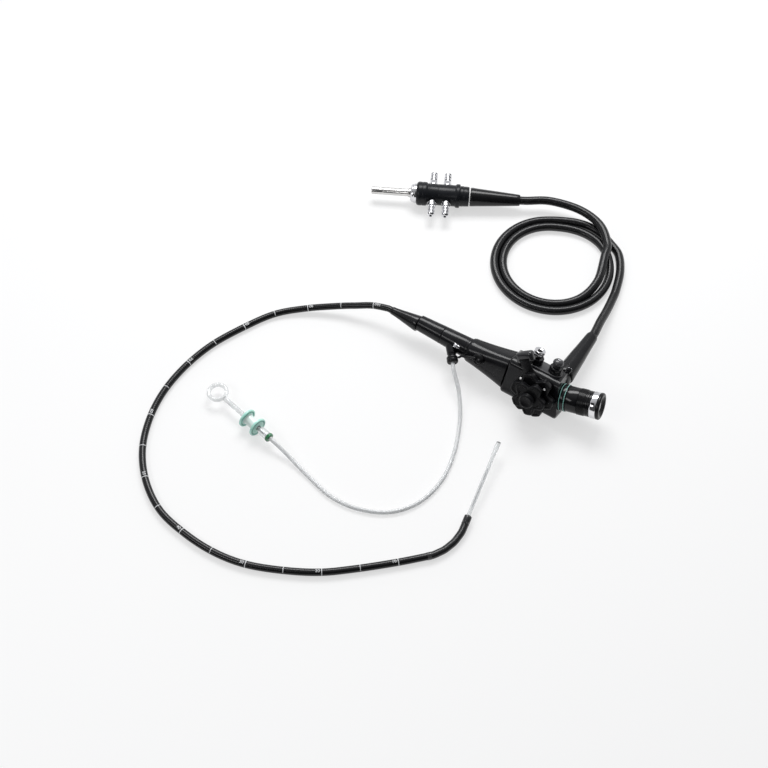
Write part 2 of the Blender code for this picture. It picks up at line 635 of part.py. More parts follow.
paint(turned("light_guide_collar", [
    (0, CONNECTOR_COLLAR), (0.0125, CONNECTOR_COLLAR), (0.0140, CONNECTOR_COLLAR - 0.002),
    (0.0155, CONNECTOR_FACE + 0.003), (0.0155, CONNECTOR_FACE + GAP), (0, CONNECTOR_FACE + GAP)],
    plug), CHROME, 0.2, 1)
paint(turned("light_guide_prong", [
    (0, CONNECTOR_TIP), (PRONG_RADIUS - 0.001, CONNECTOR_TIP), (PRONG_RADIUS, CONNECTOR_TIP - 0.001),
    (PRONG_RADIUS, CONNECTOR_COLLAR + 0.004), (PRONG_RADIUS + 0.0015, CONNECTOR_COLLAR + 0.0035),
    (PRONG_RADIUS + 0.0015, CONNECTOR_COLLAR + GAP), (0, CONNECTOR_COLLAR + GAP)], plug, 20),
    CHROME, 0.2, 1)
across = connector_way.cross(Vector((0, 0, 1)))
number = 1
for way in (1, -1):
    for at in NOZZLE_AT:
        root = CONNECTOR_START + connector_way * at + across * way * (body_r + GAP)
        long = NOZZLE_REACH - body_r - GAP
        paint(turned("nozzle_%d" % number, [
            (0, long), (0.0034, long), (0.0050, long - 0.0025), (0.0050, long - 0.0050),
            (0.0038, long - 0.0065), (0.0038, 0.0100), (0.0054, 0.0085), (0.0054, 0), (0, 0)],
            axes(root, across * way), 12), CHROME, 0.2, 1)
        number += 1

# Insertion tube, from the boot round to the bending section
bend_way = Vector((math.cos(BEND_HEADING), math.sin(BEND_HEADING), 0))
low = BEND_START.z
boot_line = axes((0, 0, AXIS_HEIGHT), (1, 0.012, 0))
insertion = [boot_line @ Vector((0, 0, BOOT_TIP_X - 0.006)), (-0.275, -0.0085, 0.0262),
             (-0.298, -0.0185, 0.0205), (-0.321, -0.0295, 0.0150), (-0.3625, -0.0560, 0.0085),
             (-0.397, -0.088, low), (-0.421, -0.1325, low), (-0.441, -0.1825, low),
             (-0.450, -0.233, low), (-0.449, -0.284, low), (-0.437, -0.331, low),
             (-0.414, -0.3745, low), (-0.379, -0.410, low), (-0.336, -0.434, low),
             (-0.2885, -0.443, low), (-0.241, -0.444, low), (-0.196, -0.436, low),
             (-0.150, -0.417, low), (-0.106, -0.392, low), (-0.069, -0.362, low),
             (-0.030, -0.3262, low), BEND_START - bend_way * 0.006]
insertion = ([boot_line @ Vector((0, 0, BOOT_TIP_X - GAP))] + smooth_route(insertion, 0.021)
             + [BEND_START - bend_way * GAP])
paint(tube("insertion_tube", insertion, TUBE_RADIUS), RUBBER, 0.3)


# Bending section: laser-cut rings hinged by tongues in sockets, each hinge a quarter turn from
# the last. A ring's side view is cut to a shallow V with a round tongue or socket on the hinge.
def ring_end(reach, slope_from, disc, outward):
    """Half plane beyond the hinge at 0, sloping away on both sides of a round disc."""
    wide = 0.006
    drop = slope_from + wide * math.tan(LINK_SLOPE)
    start = math.asin(min(0.9, slope_from / disc)) + LINK_SLOPE
    if outward:
        arc = circle(disc, 9, -start, math.pi + start)
    else:
        arc = circle(disc, 7, -start, -math.pi + start)
    return [(-wide, -reach), (wide, -reach), (wide, -drop)] + arc + [(-wide, -drop)]


def ring_solid(name, low_end, high_end, placing, collection=parts):
    """A thin ring between two heights, before its ends are cut."""
    inner = LINK_RADIUS - LINK_WALL
    return turned(name, [(LINK_RADIUS, high_end), (LINK_RADIUS, low_end), (inner, low_end),
                         (inner, high_end)], placing, 16, collection)


face_gap = 0.00015
tongue_keep = ring_end(0.03, face_gap, LINK_TONGUE, True)
socket_keep = [(x, -y) for x, y in ring_end(0.03, face_gap, LINK_TONGUE + RUN, False)][::-1]


def cut_ring(obj, placing, low_axis=None, high_axis=None, high_at=LINK_PITCH):
    """Cut a socket at the ring's origin and a tongue at its far hinge."""
    turns = {"X": Matrix(((0, 0, 1), (1, 0, 0), (0, 1, 0))).to_4x4(),
             "Y": Matrix(((1, 0, 0), (0, 0, -1), (0, 1, 0))).to_4x4()}
    if low_axis:
        tool = outline(obj.name + "_socket", [socket_keep], 0.03, placing @ turns[low_axis], cutters)
        boolean(obj, tool, "INTERSECT")
    if high_axis:
        at = placing @ Matrix.Translation((0, 0, high_at)) @ turns[high_axis]
        boolean(obj, outline(obj.name + "_tongue", [tongue_keep], 0.03, at, cutters), "INTERSECT")
    return obj


section = axes(BEND_START, bend_way)
first_hinge = LINK_PITCH / 2
base = ring_solid("bend_ring_base", GAP, first_hinge + 0.004, section)
paint(cut_ring(base, section, None, "X", first_hinge), CHROME, 0.35, 1)
hinge = section @ Matrix.Translation((0, 0, first_hinge))
cover_route = [section @ Vector((0, 0, 0.0005))]
for i in range(LINK_COUNT):
    sideways = i % 2 == 0
    turn = REST_SIDEWAYS if sideways else REST_UPWARDS
    hinge = hinge @ Matrix.Rotation(turn, 4, "X" if sideways else "Y")
    cover_route.append(hinge.translation.copy())
    socket_axis, tongue_axis = ("X", "Y") if sideways else ("Y", "X")
    if i < LINK_COUNT - 1:
        link = ring_solid("bend_ring_%d" % (i + 1), -0.004, LINK_PITCH + 0.004, hinge)
        paint(cut_ring(link, hinge, socket_axis, tongue_axis), CHROME, 0.35, 1)
        hinge = hinge @ Matrix.Translation((0, 0, LINK_PITCH))

# Hard tip with its optics, on the last hinge
tip_low = LINK_PITCH / 2
tip_high = tip_low + TIP_LENGTH
bore_end = tip_low - 0.0008
tip = turned("distal_tip", [
    (0, tip_high), (TIP_RADIUS - 0.0012, tip_high), (TIP_RADIUS, tip_high - 0.0012),
    (TIP_RADIUS, tip_low), (LINK_RADIUS, tip_low), (LINK_RADIUS, -0.004),
    (LINK_RADIUS - LINK_WALL, -0.004), (LINK_RADIUS - LINK_WALL, bore_end), (0, bore_end)],
    hinge, 16)
cut_ring(tip, hinge, "Y", None)
channel = hinge @ Matrix.Translation((CHANNEL_OFFSET, 0, 0))
channel_low = tip_high - 0.008
boolean(tip, rod("channel_cut", CHANNEL_RADIUS, channel_low, tip_high + 0.002, channel, 16, cutters))
optics = [("objective_lens", LENS_OFFSET, 0, LENS_RADIUS),
          ("light_guide_lens_left", LIGHT_OFFSET, -LIGHT_SPREAD, LIGHT_RADIUS),
          ("light_guide_lens_right", LIGHT_OFFSET, LIGHT_SPREAD, LIGHT_RADIUS)]
lens_low = tip_high - 0.0012
for name, up, across_tip, radius in optics:
    spot = hinge @ Matrix.Translation((up, across_tip, 0))
    boolean(tip, rod(name + "_pocket", radius + GAP, lens_low - GAP, tip_high + 0.002,
                     spot, 12, cutters))
    paint(rod(name, radius, lens_low, tip_high - 0.0001, spot, 12), (0.05, 0.06, 0.08), 0.05)
paint(tip, BLACK, 0.3)
cover_route.append(hinge @ Vector((0, 0, tip_low - GAP)))
cover = to_mesh(tube("bending_cover", cover_route, COVER_RADIUS, False, 4), parts)
shell = cover.modifiers.new("Wall", "SOLIDIFY")
shell.thickness = COVER_WALL
shell.offset = -1
paint(cover, RUBBER, 0.35)

# Clear sheath out of the channel, with the wire in it
sheath_low = channel_low + GAP
sheath_high = tip_high + SHEATH_LENGTH
sheath_bore = WIRE_RADIUS + RUN
paint(turned("distal_sheath", [
    (sheath_bore + 0.0008, sheath_high), (SHEATH_FLARE, sheath_high),
    (SHEATH_FLARE, sheath_high - 0.012), (SHEATH_RADIUS, sheath_high - 0.030),
    (SHEATH_RADIUS, sheath_low), (sheath_bore, sheath_low), (sheath_bore, sheath_high - 0.004)],
    channel, 14), CLEAR, 0.1, 0, 0.5)
wire_low = tip_high + 0.012
paint(rod("sheath_wire", WIRE_RADIUS, wire_low, tip_high + WIRE_REACH, channel, 8), CHROME, 0.3, 1)

# Catheter handle: thumb ring and rod, sliding spool, clear barrel and green collar
handle_way = Vector((math.cos(HANDLE_HEADING), math.sin(HANDLE_HEADING), 0))
handle = axes(HANDLE_RING, handle_way)
bpy.ops.mesh.primitive_torus_add(major_radius=HANDLE_RING_RADIUS, minor_radius=HANDLE_RING_WIRE,
                                 major_segments=20, minor_segments=8, location=HANDLE_RING)
thumb = bpy.context.object
thumb.name = "handle_rod"
for holder in list(thumb.users_collection):
    holder.objects.unlink(thumb)
parts.objects.link(thumb)
boolean(thumb, turned("handle_rod_bar", [
    (0, BARREL_START), (ROD_RADIUS, BARREL_START), (ROD_RADIUS, HANDLE_RING_RADIUS + 0.006),
    (ROD_RADIUS - 0.0003, HANDLE_RING_RADIUS), (0, HANDLE_RING_RADIUS)],
    handle, 16, cutters), "UNION")
paint(thumb, CLEAR, 0.2)
spool_bore = ROD_RADIUS + RUN
paint(turned("spool", [
    (SPOOL_RADIUS - 0.0008, SPOOL_FRONT), (SPOOL_RADIUS, SPOOL_FRONT - 0.0008),
    (SPOOL_RADIUS, SPOOL_FRONT - SPOOL_FLANGE), (SPOOL_HUB, SPOOL_FRONT - SPOOL_FLANGE - 0.002),
    (SPOOL_HUB, SPOOL_BACK + SPOOL_FLANGE + 0.002), (SPOOL_RADIUS, SPOOL_BACK + SPOOL_FLANGE),
    (SPOOL_RADIUS, SPOOL_BACK + 0.0008), (SPOOL_RADIUS - 0.0008, SPOOL_BACK),
    (spool_bore, SPOOL_BACK), (spool_bore, SPOOL_FRONT)], handle), TEAL, 0.35)
paint(turned("handle_barrel", [
    (0, BARREL_FRONT), (HANDLE_BARREL_RADIUS, BARREL_FRONT),
    (HANDLE_BARREL_RADIUS, BARREL_START + 0.004), (HANDLE_BARREL_RADIUS - 0.0012, BARREL_START + GAP),
    (0, BARREL_START + GAP)], handle, 16), CLEAR, 0.15)
paint(rod("handle_collar", HANDLE_COLLAR_RADIUS, BARREL_FRONT + GAP, HANDLE_TIP, handle, 16),
      GREEN, 0.4)

# Catheter tube, from the handle round the table and into the biopsy valve
catheter = [HANDLE_RING + handle_way * (HANDLE_TIP + 0.006), (-0.2500, -0.2718, 0.0100),
            (-0.2317, -0.2755, 0.0062), (-0.1967, -0.2842, 0.0032), (-0.1584, -0.2921, 0.0032),
            (-0.1201, -0.2888, 0.0032), (-0.0829, -0.2726, 0.0032), (-0.0593, -0.2475, 0.0032),
            (-0.0472, -0.2163, 0.0032), (-0.0454, -0.1805, 0.0032), (-0.0543, -0.1396, 0.0036),
            (-0.0735, -0.0944, 0.0060), (-0.0961, -0.0610, 0.0130),
            port_base + PORT_DIRECTION * (cap_high + 0.010),
            port_base + PORT_DIRECTION * (cap_high - 0.002),
            port_base + PORT_DIRECTION * (cap_low + GAP)]
catheter = [HANDLE_RING + handle_way * (HANDLE_TIP + GAP)] + smooth_route(catheter, 0.018)
paint(tube("catheter_tube", catheter, CATHETER_RADIUS), CLEAR, 0.15)

bpy.context.view_layer.update()
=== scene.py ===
import json
import math

import bmesh
import bpy
from mathutils import Matrix, Vector


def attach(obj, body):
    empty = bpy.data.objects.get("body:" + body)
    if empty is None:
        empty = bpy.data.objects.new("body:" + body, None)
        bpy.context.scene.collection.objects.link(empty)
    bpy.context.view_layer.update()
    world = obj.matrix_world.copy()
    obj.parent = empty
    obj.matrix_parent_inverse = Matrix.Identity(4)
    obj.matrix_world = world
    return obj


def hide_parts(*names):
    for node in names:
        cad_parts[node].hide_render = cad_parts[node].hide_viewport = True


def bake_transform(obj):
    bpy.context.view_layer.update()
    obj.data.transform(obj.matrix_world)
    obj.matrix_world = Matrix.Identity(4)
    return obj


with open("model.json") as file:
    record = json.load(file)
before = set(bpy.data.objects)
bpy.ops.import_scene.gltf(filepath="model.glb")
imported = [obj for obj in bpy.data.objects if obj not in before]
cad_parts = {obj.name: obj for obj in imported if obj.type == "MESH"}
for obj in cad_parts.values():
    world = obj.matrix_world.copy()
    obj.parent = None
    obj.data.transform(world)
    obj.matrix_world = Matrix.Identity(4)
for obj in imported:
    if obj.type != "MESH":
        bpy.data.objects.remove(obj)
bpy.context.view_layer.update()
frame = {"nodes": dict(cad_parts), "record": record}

# ---------------- table and light
# A matt white studio table with one large soft light above and behind it, and a weak one in
# front. The room is pale on the far side and dark towards the camera, so that gloss shows
# as bands.
eye_point = Vector((0.3236, -0.9009, 1.470))
looking = Vector((-0.2966, 0.4568, -0.8387))
lit_spot = Vector((-0.10, -0.05, 0.0))
table_half_width = 24
plain_white_share = 0.6


def put(name, data):
    """A new object, linked to the scene."""
    obj = bpy.data.objects.new(name, data)
    bpy.context.scene.collection.objects.link(obj)
    return obj


def soft_light(name, place, size, watts):
    """A rectangular lamp that faces the instrument."""
    lamp = bpy.data.lights.new(name, "AREA")
    lamp.shape = "RECTANGLE"
    lamp.size, lamp.size_y = size
    lamp.energy = watts
    holder = put(name, lamp)
    holder.location = place
    holder.rotation_euler = (lit_spot - Vector(place)).to_track_quat("-Z", "Y").to_euler()


def add(tree, kind, **values):
    """A shader node with its settings or sockets filled in."""
    node = tree.nodes.new("ShaderNode" + kind)
    for key, value in values.items():
        if hasattr(node, key):
            setattr(node, key, value)
        else:
            node.inputs[key.replace("_", " ")].default_value = value
    return node


def link(giver, out, taker, into):
    """Lead an output of one node to a socket of another."""
    giver.id_data.links.new(giver.outputs[out], taker.inputs[into])


def maths(tree, operation, first, out=0, second=0.5):
    """A maths node that works on another node's output and a number."""
    node = add(tree, "Math", operation=operation)
    node.inputs[1].default_value = second
    link(first, out, node, 0)
    return node


def tones(tree, dark, light, low=0.0, high=1.0):
    """A ramp from a dark tone to a light one."""
    ramp = add(tree, "ValToRGB")
    first, last = ramp.color_ramp.elements
    first.position, first.color = low, (*dark, 1)
    last.position, last.color = high, (*light, 1)
    return ramp


def paint(name, **values):
    """A new material, its node tree and its shader with the sockets filled in."""
    material = bpy.data.materials.new(name)
    material.use_nodes = True
    shader = material.node_tree.nodes["Principled BSDF"]
    for key, value in values.items():
        shader.inputs[key.replace("_", " ")].default_value = value
    return material, material.node_tree, shader


def mesh_of(name, work):
    """Write a shape into a new mesh and free it."""
    mesh = bpy.data.meshes.new(name)
    work.to_mesh(mesh)
    work.free()
    return mesh


camera_data = bpy.data.cameras.new("camera")
camera_data.sensor_width = 36
camera_data.lens = 57.5625
camera_data.clip_start, camera_data.clip_end = 0.05, 50
camera = put("camera", camera_data)
camera.location = eye_point
camera.rotation_euler = looking.to_track_quat("-Z", "Y").to_euler()
bpy.context.scene.camera = camera
bpy.context.scene.view_settings.view_transform = "Standard"
soft_light("overhead_softbox", (-0.72, 0.90, 1.50), (1.2, 0.72), 27)
soft_light("front_reflector", (-0.66, -1.30, 1.15), (0.9, 0.30), 4.5)

world = bpy.data.worlds.new("studio")
bpy.context.scene.world = world
world.use_nodes = True
sky = world.node_tree
sky_light = sky.nodes["Background"]
sky_light.inputs["Color"].default_value = (0.97, 0.98, 1.0, 1)
sky_side = add(sky, "VectorMath", operation="DOT_PRODUCT")
sky_side.inputs[1].default_value = (-0.52, 0.80, 0.30)
sky_fall = add(sky, "MapRange", interpolation_type="SMOOTHSTEP", From_Min=-0.50, From_Max=0.75,
               To_Min=0.07, To_Max=0.70)
link(add(sky, "TexCoord"), "Generated", sky_side, 0)
link(sky_side, "Value", sky_fall, "Value")
link(sky_fall, "Result", sky_light, "Strength")

table_paint, tree, shader = paint("table_paint", Roughness=0.85, Specular_IOR_Level=0.1)
mottle = add(tree, "TexNoise", Scale=2.0)
mottled = tones(tree, (0.930, 0.930, 0.935), (0.945, 0.945, 0.945))
link(add(tree, "TexCoord"), "Object", mottle, "Vector")
link(mottle, "Fac", mottled, "Fac")
link(mottled, "Color", shader, "Base Color")
# The camera, and what shines or lets light through, see it partly lit, partly plain white
plain_white = add(tree, "Emission", Color=(0.985, 0.985, 0.985, 1), Strength=1.0)
ray = add(tree, "LightPath")
shone_through = maths(tree, "MAXIMUM", ray, "Is Glossy Ray")
seen = maths(tree, "MAXIMUM", ray, "Is Camera Ray")
share = maths(tree, "MULTIPLY", seen, second=plain_white_share)
mix = add(tree, "MixShader")
link(ray, "Is Transmission Ray", shone_through, 1)
link(shone_through, 0, seen, 1)
link(share, 0, mix, 0)
link(shader, 0, mix, 1)
link(plain_white, 0, mix, 2)
link(mix, 0, tree.nodes["Material Output"], "Surface")

work = bmesh.new()
bmesh.ops.create_grid(work, x_segments=1, y_segments=1, size=table_half_width)
table_mesh = mesh_of("table", work)
table_mesh.materials.append(table_paint)
put("table", table_mesh)

# ---------------- umbilical
# One and a half metres of glossy black sheathed cable from the control body to the light
# guide connector, lying in two turns. The sheath is pressed with fine hoops.
umbilical_radius = 0.0065
route_step = 0.004
coil_centre = Vector((-0.098, 0.216, 0))
connector_start = Vector((-0.1974, 0.2917, 0.0188))
cable_black = (0.004, 0.004, 0.005), (0.007, 0.007, 0.008)


def polar(reach, turn):
    """A point on a circle."""
    return reach * math.cos(turn), reach * math.sin(turn)


def heading(degrees):
    """A level direction, turned from X."""
    return Vector((*polar(1, math.radians(degrees)), 0))


def axes(at, along, up=(0, 0, 1)):
    """A placing with Z along one direction and X towards another."""
    z = Vector(along).normalized()
    x = (Vector(up) - z * z.dot(Vector(up))).normalized()
    placing = Matrix((x, z.cross(x), z)).transposed().to_4x4()
    placing.translation = Vector(at)
    return placing


def on_axis(placing, *heights):
    """Points on a placing's Z axis, by their heights in millimetres."""
    return [placing @ Vector((0, 0, h / 1000)) for h in heights]


def mm(*points):
    """Points given in millimetres."""
    return [Vector([c / 1000 for c in p]) for p in points]


def smooth_route(points, step):
    """Points about one step apart on a smooth line through the given ones."""
    points = [Vector(p) for p in points]
    ends = [2 * points[0] - points[1]] + points + [2 * points[-1] - points[-2]]
    route = [points[0]]
    for a, b, c, d in zip(ends, ends[1:], ends[2:], ends[3:]):
        count = max(1, round((c - b).length / step))
        for i in range(1, count + 1):
            t = i / count
            route.append(0.5 * (2 * b + (c - a) * t + (2 * a - 5 * b + 4 * c - d) * t * t
                                + (3 * b - a - 3 * c + d) * t ** 3))
    return route


def lengths_along(route):
    """How far each point lies from the start of its route."""
    sums = [0.0]
    for a, b in zip(route, route[1:]):
        sums.append(sums[-1] + (b - a).length)
    return sums


def swept(stations, around, place, closed=True):
    """Extrude a ring from station to station. Each point keeps its side, top and run."""
    work = bmesh.new()
    lie = work.verts.layers.float_vector.new("lie")
    ring = bmesh.ops.create_circle(work, cap_ends=closed, segments=around, radius=1)["verts"]
    for vert in ring:
        vert[lie] = (vert.co.x, vert.co.y, 0)
    rim = list(work.edges)
    for n in range(stations):
        if n:
            grown = bmesh.ops.extrude_edge_only(work, edges=rim)["geom"]
            ring = [g for g in grown if isinstance(g, bmesh.types.BMVert)]
            rim = [g for g in grown if isinstance(g, bmesh.types.BMEdge)]
        for vert in ring:
            c, s = vert[lie][0], vert[lie][1]
            vert.co, run = place(n, c, s)
            vert[lie] = (c, s, run)
    if closed:
        bmesh.ops.edgeloop_fill(work, edges=rim)
    return work


def strand(route, radius, around=24, closed=True):
    """Sweep a ring of one radius, or of a radius for each point, along a route."""
    radii = radius if isinstance(radius, list) else [radius] * len(route)
    runs = lengths_along(route)

    def place(n, c, s):
        way = (route[min(n + 1, len(route) - 1)] - route[max(n - 1, 0)]).normalized()
        side = way.cross(Vector((0, 0, 1))).normalized()
        return route[n] + (side * c + side.cross(way) * s) * radii[n], runs[n]

    return swept(len(route), around, place, closed)


def piece(name, work, material, *nodes, body="control_body", crease=38):
    """Finish a mesh as an object that rides on a body and stands for CAD nodes."""
    bmesh.ops.recalc_face_normals(work, faces=work.faces)
    mesh = mesh_of(name, work)
    mesh.shade_smooth()
    mesh.set_sharp_from_angle(angle=math.radians(crease))
    mesh.materials.append(material)
    obj = put(name, mesh)
    if body:
        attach(obj, body)
    if nodes:
        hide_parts(*nodes)
    return obj


def moulded(name, slot, dark, light, rough, grain=1400, depth=0.000012, metal=0.0, coat=0.0,
            specular=0.5):
    """A finish whose colour, gloss and grain vary a little over the surface; the slot argument is
    not used.
    """
    material, tree, shader = paint(name, Metallic=metal, Specular_IOR_Level=specular,
                                   Coat_Weight=coat, Coat_Roughness=0.08)
    place = add(tree, "TexCoord")
    cloud = add(tree, "TexNoise", Scale=70.0, Detail=4.0)
    smear = add(tree, "TexNoise", Scale=210.0, Detail=3.0)
    fine = add(tree, "TexNoise", Scale=float(grain), Detail=2.0)
    for texture in (cloud, smear, fine):
        link(place, "Object", texture, "Vector")
    tint = tones(tree, dark, light, 0.3, 0.7)
    gloss = add(tree, "MapRange", To_Min=rough * 0.8, To_Max=min(1.0, rough * 1.25))
    relief = add(tree, "Bump", Strength=0.5, Distance=depth)
    link(cloud, "Fac", tint, "Fac")
    link(tint, "Color", shader, "Base Color")
    link(smear, "Fac", gloss, "Value")
    link(gloss, "Result", shader, "Roughness")
    link(fine, "Fac", relief, "Height")
    link(relief, "Normal", shader, "Normal")
    return material


def hoops(material, pitch, depth, strength=1.0):
    """Add pressed hoops, a given pitch apart along a strand, to a finish."""
    tree = material.node_tree
    shader = tree.nodes["Principled BSDF"]
    fine = shader.inputs["Normal"].links[0].from_node
    lie = add(tree, "Attribute", attribute_name="lie")
    lie_parts = add(tree, "SeparateXYZ")
    link(lie, "Vector", lie_parts, 0)
    wave = maths(tree, "SINE", maths(tree, "MULTIPLY", lie_parts, 2, math.tau / pitch))
    relief = add(tree, "Bump", Strength=strength, Distance=depth)
    link(wave, 0, relief, "Height")
    link(fine, "Normal", relief, "Normal")
    link(relief, "Normal", shader, "Normal")
    return lie_parts


def ease(t):
    """A smooth rise from 0 to 1."""
    t = min(1.0, max(0.0, t))
    return t * t * (3 - 2 * t)


connector_way = heading(207.7)
boot_way = Vector((0, 1, -0.088)).normalized()
boot_axes = axes((0.0185, 0.010, 0.0305), boot_way)

umbilical_points = on_axis(boot_axes, 112.6, 120.3)
umbilical_points += mm((15.5, 152, 16.5), (12.8, 180, 11), (9.6, 204, 7.8), (5.6, 226, 6.7),
                       (-5, 260, 6.7), (-21, 287, 6.7))
# The outer turn narrows to the inner one, whose end climbs over the cable that leads in
for degrees in range(55, 735, 13):
    reach = 0.1017
    if degrees >= 68:
        reach = (0.1003 - 0.0130 * ease((degrees - 68) / 52)
                 - 0.0128 * ease((degrees - 408) / 72))
    rise = 0.0067 + 0.0134 * ease((degrees - 682) / 78)
    umbilical_points.append(coil_centre + Vector((*polar(reach, math.radians(degrees)), rise)))
umbilical_points += mm((-34.5, 262, 20.1), (-42, 286, 20.1), (-69.5, 314, 20.1),
                       (-110, 324, 20.1), (-157.5, 315, 19.8))
umbilical_points += [connector_start + connector_way * s for s in (-0.008, 0.020, 0.060, 0.095)]
umbilical_route = smooth_route(umbilical_points, route_step)
umbilical_sheath = moulded("umbilical_sheath", "black_sheathing", *cable_black, 0.24, coat=0.32,
                           specular=0.22)
hoops(umbilical_sheath, 0.0022, 0.00012)
umbilical = piece("umbilical", strand(umbilical_route, umbilical_radius, 28), umbilical_sheath,
                  "umbilical_lead_in", "umbilical_coil", "umbilical_lead_out")

# ---------------- insertion tube
# The long black tube that goes into the patient. White rings are printed every ten
# centimetres from the tip, each with its depth beside it, and short ticks in between.
tube_radius = 0.0049
bend_start = Vector((0.0014, -0.2946, 0.0054))
bend_way = heading(46)
axis_height = 0.030
boot_line = axes((0, 0, axis_height), (1, 0.012, 0))
tube_points = on_axis(boot_line, -245.3, -251)
tube_points += mm((-275, -8.5, 26.2), (-298, -18.5, 20.5), (-321, -29.5, 15), (-362.5, -56, 8.5))
# From here it lies on the table
tube_points += mm(*[(x, y, 5.4) for x, y in (
    (-397, -88), (-421, -132.5), (-441, -182.5), (-450, -233), (-449, -284), (-437, -331),
    (-414, -374.5), (-379, -410), (-336, -434), (-288.5, -443), (-241, -444), (-196, -436),
    (-150, -417), (-106, -392), (-69, -362), (-30, -326.2))])
tube_points += [bend_start - bend_way * s for s in (0.006, 0.0003)]
tube_route = smooth_route(tube_points, route_step)
tube_sheath = moulded("tube_sheath", "black_sheathing", *cable_black, 0.22, coat=0.25,
                      specular=0.22)
run = hoops(tube_sheath, 0.0030, 0.00007)
tree = tube_sheath.node_tree
shader = tree.nodes["Principled BSDF"]
first_ring = 0.029
ring_spacing = 0.1


def printed_at(offset, half_width):
    """1 on the rings printed every ten centimetres from an offset, else 0."""
    tens = maths(tree, "PINGPONG", maths(tree, "ADD", run, 2, 1.0 - offset),
                 second=ring_spacing / 2)
    return maths(tree, "LESS_THAN", tens, second=half_width)


rings = printed_at(first_ring, 0.0006)
ticks = printed_at(first_ring + ring_spacing / 2, 0.0005)
tick_top = maths(tree, "MULTIPLY", ticks)
printed = maths(tree, "MAXIMUM", rings)
ink = add(tree, "Mix", data_type="RGBA")
ink.inputs[7].default_value = (0.62, 0.63, 0.64, 1)
link(maths(tree, "GREATER_THAN", run, 1, 0.35), 0, tick_top, 1)
link(tick_top, 0, printed, 1)
link(printed, 0, ink, 0)
link(shader.inputs["Base Color"].links[0].from_node, "Color", ink, 6)
link(ink, 2, shader, "Base Color")
insertion_tube = piece("insertion_tube_sheath", strand(tube_route, tube_radius, 28), tube_sheath,
                       "insertion_tube")

# Depth numbers, in centimetres from the tip, wrapped on the top of the tube
ink_white = moulded("depth_ink", "white_plastic", (0.74, 0.75, 0.76), (0.84, 0.85, 0.86), 0.5)
tube_runs = lengths_along(tube_route)


def on_tube(run_at, across, lift=0.00006):
    """A point on the tube's skin, some way along it and round from its top."""
    n = max(i for i, r in enumerate(tube_runs[:-1]) if r <= max(run_at, 0))
    a, b = tube_route[n], tube_route[n + 1]
    way = (b - a).normalized()
    centre = a + way * (run_at - tube_runs[n])
    side = way.cross(Vector((0, 0, 1))).normalized()
    top = side.cross(way)
    turn = across / tube_radius
    return centre + (top * math.cos(turn) + side * math.sin(turn)) * (tube_radius + lift)


def depth_number(n):
    """The number beside one ring, cut into strips so that it bends round the tube."""
    digits = bpy.data.curves.new("digits", "FONT")
    digits.body = str(100 - 10 * n)
    digits.size = 0.0062
    digits.align_x, digits.align_y = "RIGHT", "CENTER"
    holder = put("digits", digits)
    bpy.context.view_layer.update()
    flat = bpy.data.meshes.new_from_object(holder)
    bpy.data.objects.remove(holder, do_unlink=True)
    bpy.data.curves.remove(digits)
    number = bmesh.new()
    number.from_mesh(flat)
    bpy.data.meshes.remove(flat)
    for strip in range(-3, 4):
        bmesh.ops.bisect_plane(number, geom=number.verts[:] + number.edges[:] + number.faces[:],
                               plane_co=(0, 0.0008 * strip, 0), plane_no=(0, 1, 0))
    for vert in number.verts:
        vert.co = on_tube(first_ring + ring_spacing * n - 0.0022 + vert.co.x, -vert.co.y)
    return number


def joined(shapes):
    """Put several shapes into one."""
    whole = bmesh.new()
    for shape in shapes:
        mesh = mesh_of("shape", shape)
        whole.from_mesh(mesh)
        bpy.data.meshes.remove(mesh)
    return whole


numbers = piece("depth_numbers", joined(depth_number(n) for n in range(10)), ink_white)

# ---------------- catheter
# A clear tube with a bright inner sleeve, from its handle round the table and into the
# rubber valve of the working channel.
handle_ring = Vector((-0.380, -0.247, 0.0144))
handle_way = heading(-11.2)
port_way = Vector((0.60, -0.79, -0.10)).normalized()
port_base = Vector((-0.1486, 0, axis_height))
catheter_points = [handle_ring + handle_way * s for s in (0.1037, 0.109, 0.114)]
catheter_points += mm((-250, -271.8, 10), (-231.7, -275.5, 6.2), (-196.7, -284.2, 3.2),
                      (-158.4, -292.1, 3.2), (-120.1, -288.8, 3.2), (-82.9, -272.6, 3.2),
                      (-59.3, -247.5, 3.2), (-47.2, -216.3, 3.2), (-45.4, -180.5, 3.2),
                      (-54.3, -139.6, 3.6), (-73.5, -94.4, 6), (-96.1, -61, 13))
catheter_points += [port_base + port_way * s for s in (0.0498, 0.0378, 0.0306)]
catheter_route = smooth_route(catheter_points, route_step)


def clear(name, tint, rough, ior, through):
    """A clear, slightly milky plastic with a faint haze and an uneven skin."""
    material, tree, shader = paint(name, Transmission_Weight=through, IOR=ior)
    haze = add(tree, "TexNoise", Scale=120.0, Detail=3.0)
    tone = tones(tree, [c * 0.96 for c in tint], tint)
    gloss = add(tree, "MapRange", To_Min=rough * 0.6, To_Max=rough * 1.4)
    relief = add(tree, "Bump", Strength=0.3, Distance=0.00005)
    link(add(tree, "TexCoord"), "Object", haze, "Vector")
    for taker, into in ((tone, "Fac"), (gloss, "Value"), (relief, "Height")):
        link(haze, "Fac", taker, into)
    link(tone, "Color", shader, "Base Color")
    link(gloss, "Result", shader, "Roughness")
    link(relief, "Normal", shader, "Normal")
    return material


clear_tube = clear("clear_tube", (0.94, 0.95, 0.955), 0.12, 1.35, 0.45)
inner_white = moulded("inner_sleeve", "white_plastic", (0.80, 0.82, 0.83), (0.90, 0.91, 0.92),
                      0.35)
catheter = piece("catheter_sheath", strand(catheter_route, 0.0030, 24), clear_tube,
                 "catheter_tube")
catheter_core = piece("catheter_inner_sleeve", strand(catheter_route[1:-1], 0.0017, 14),
                      inner_white)

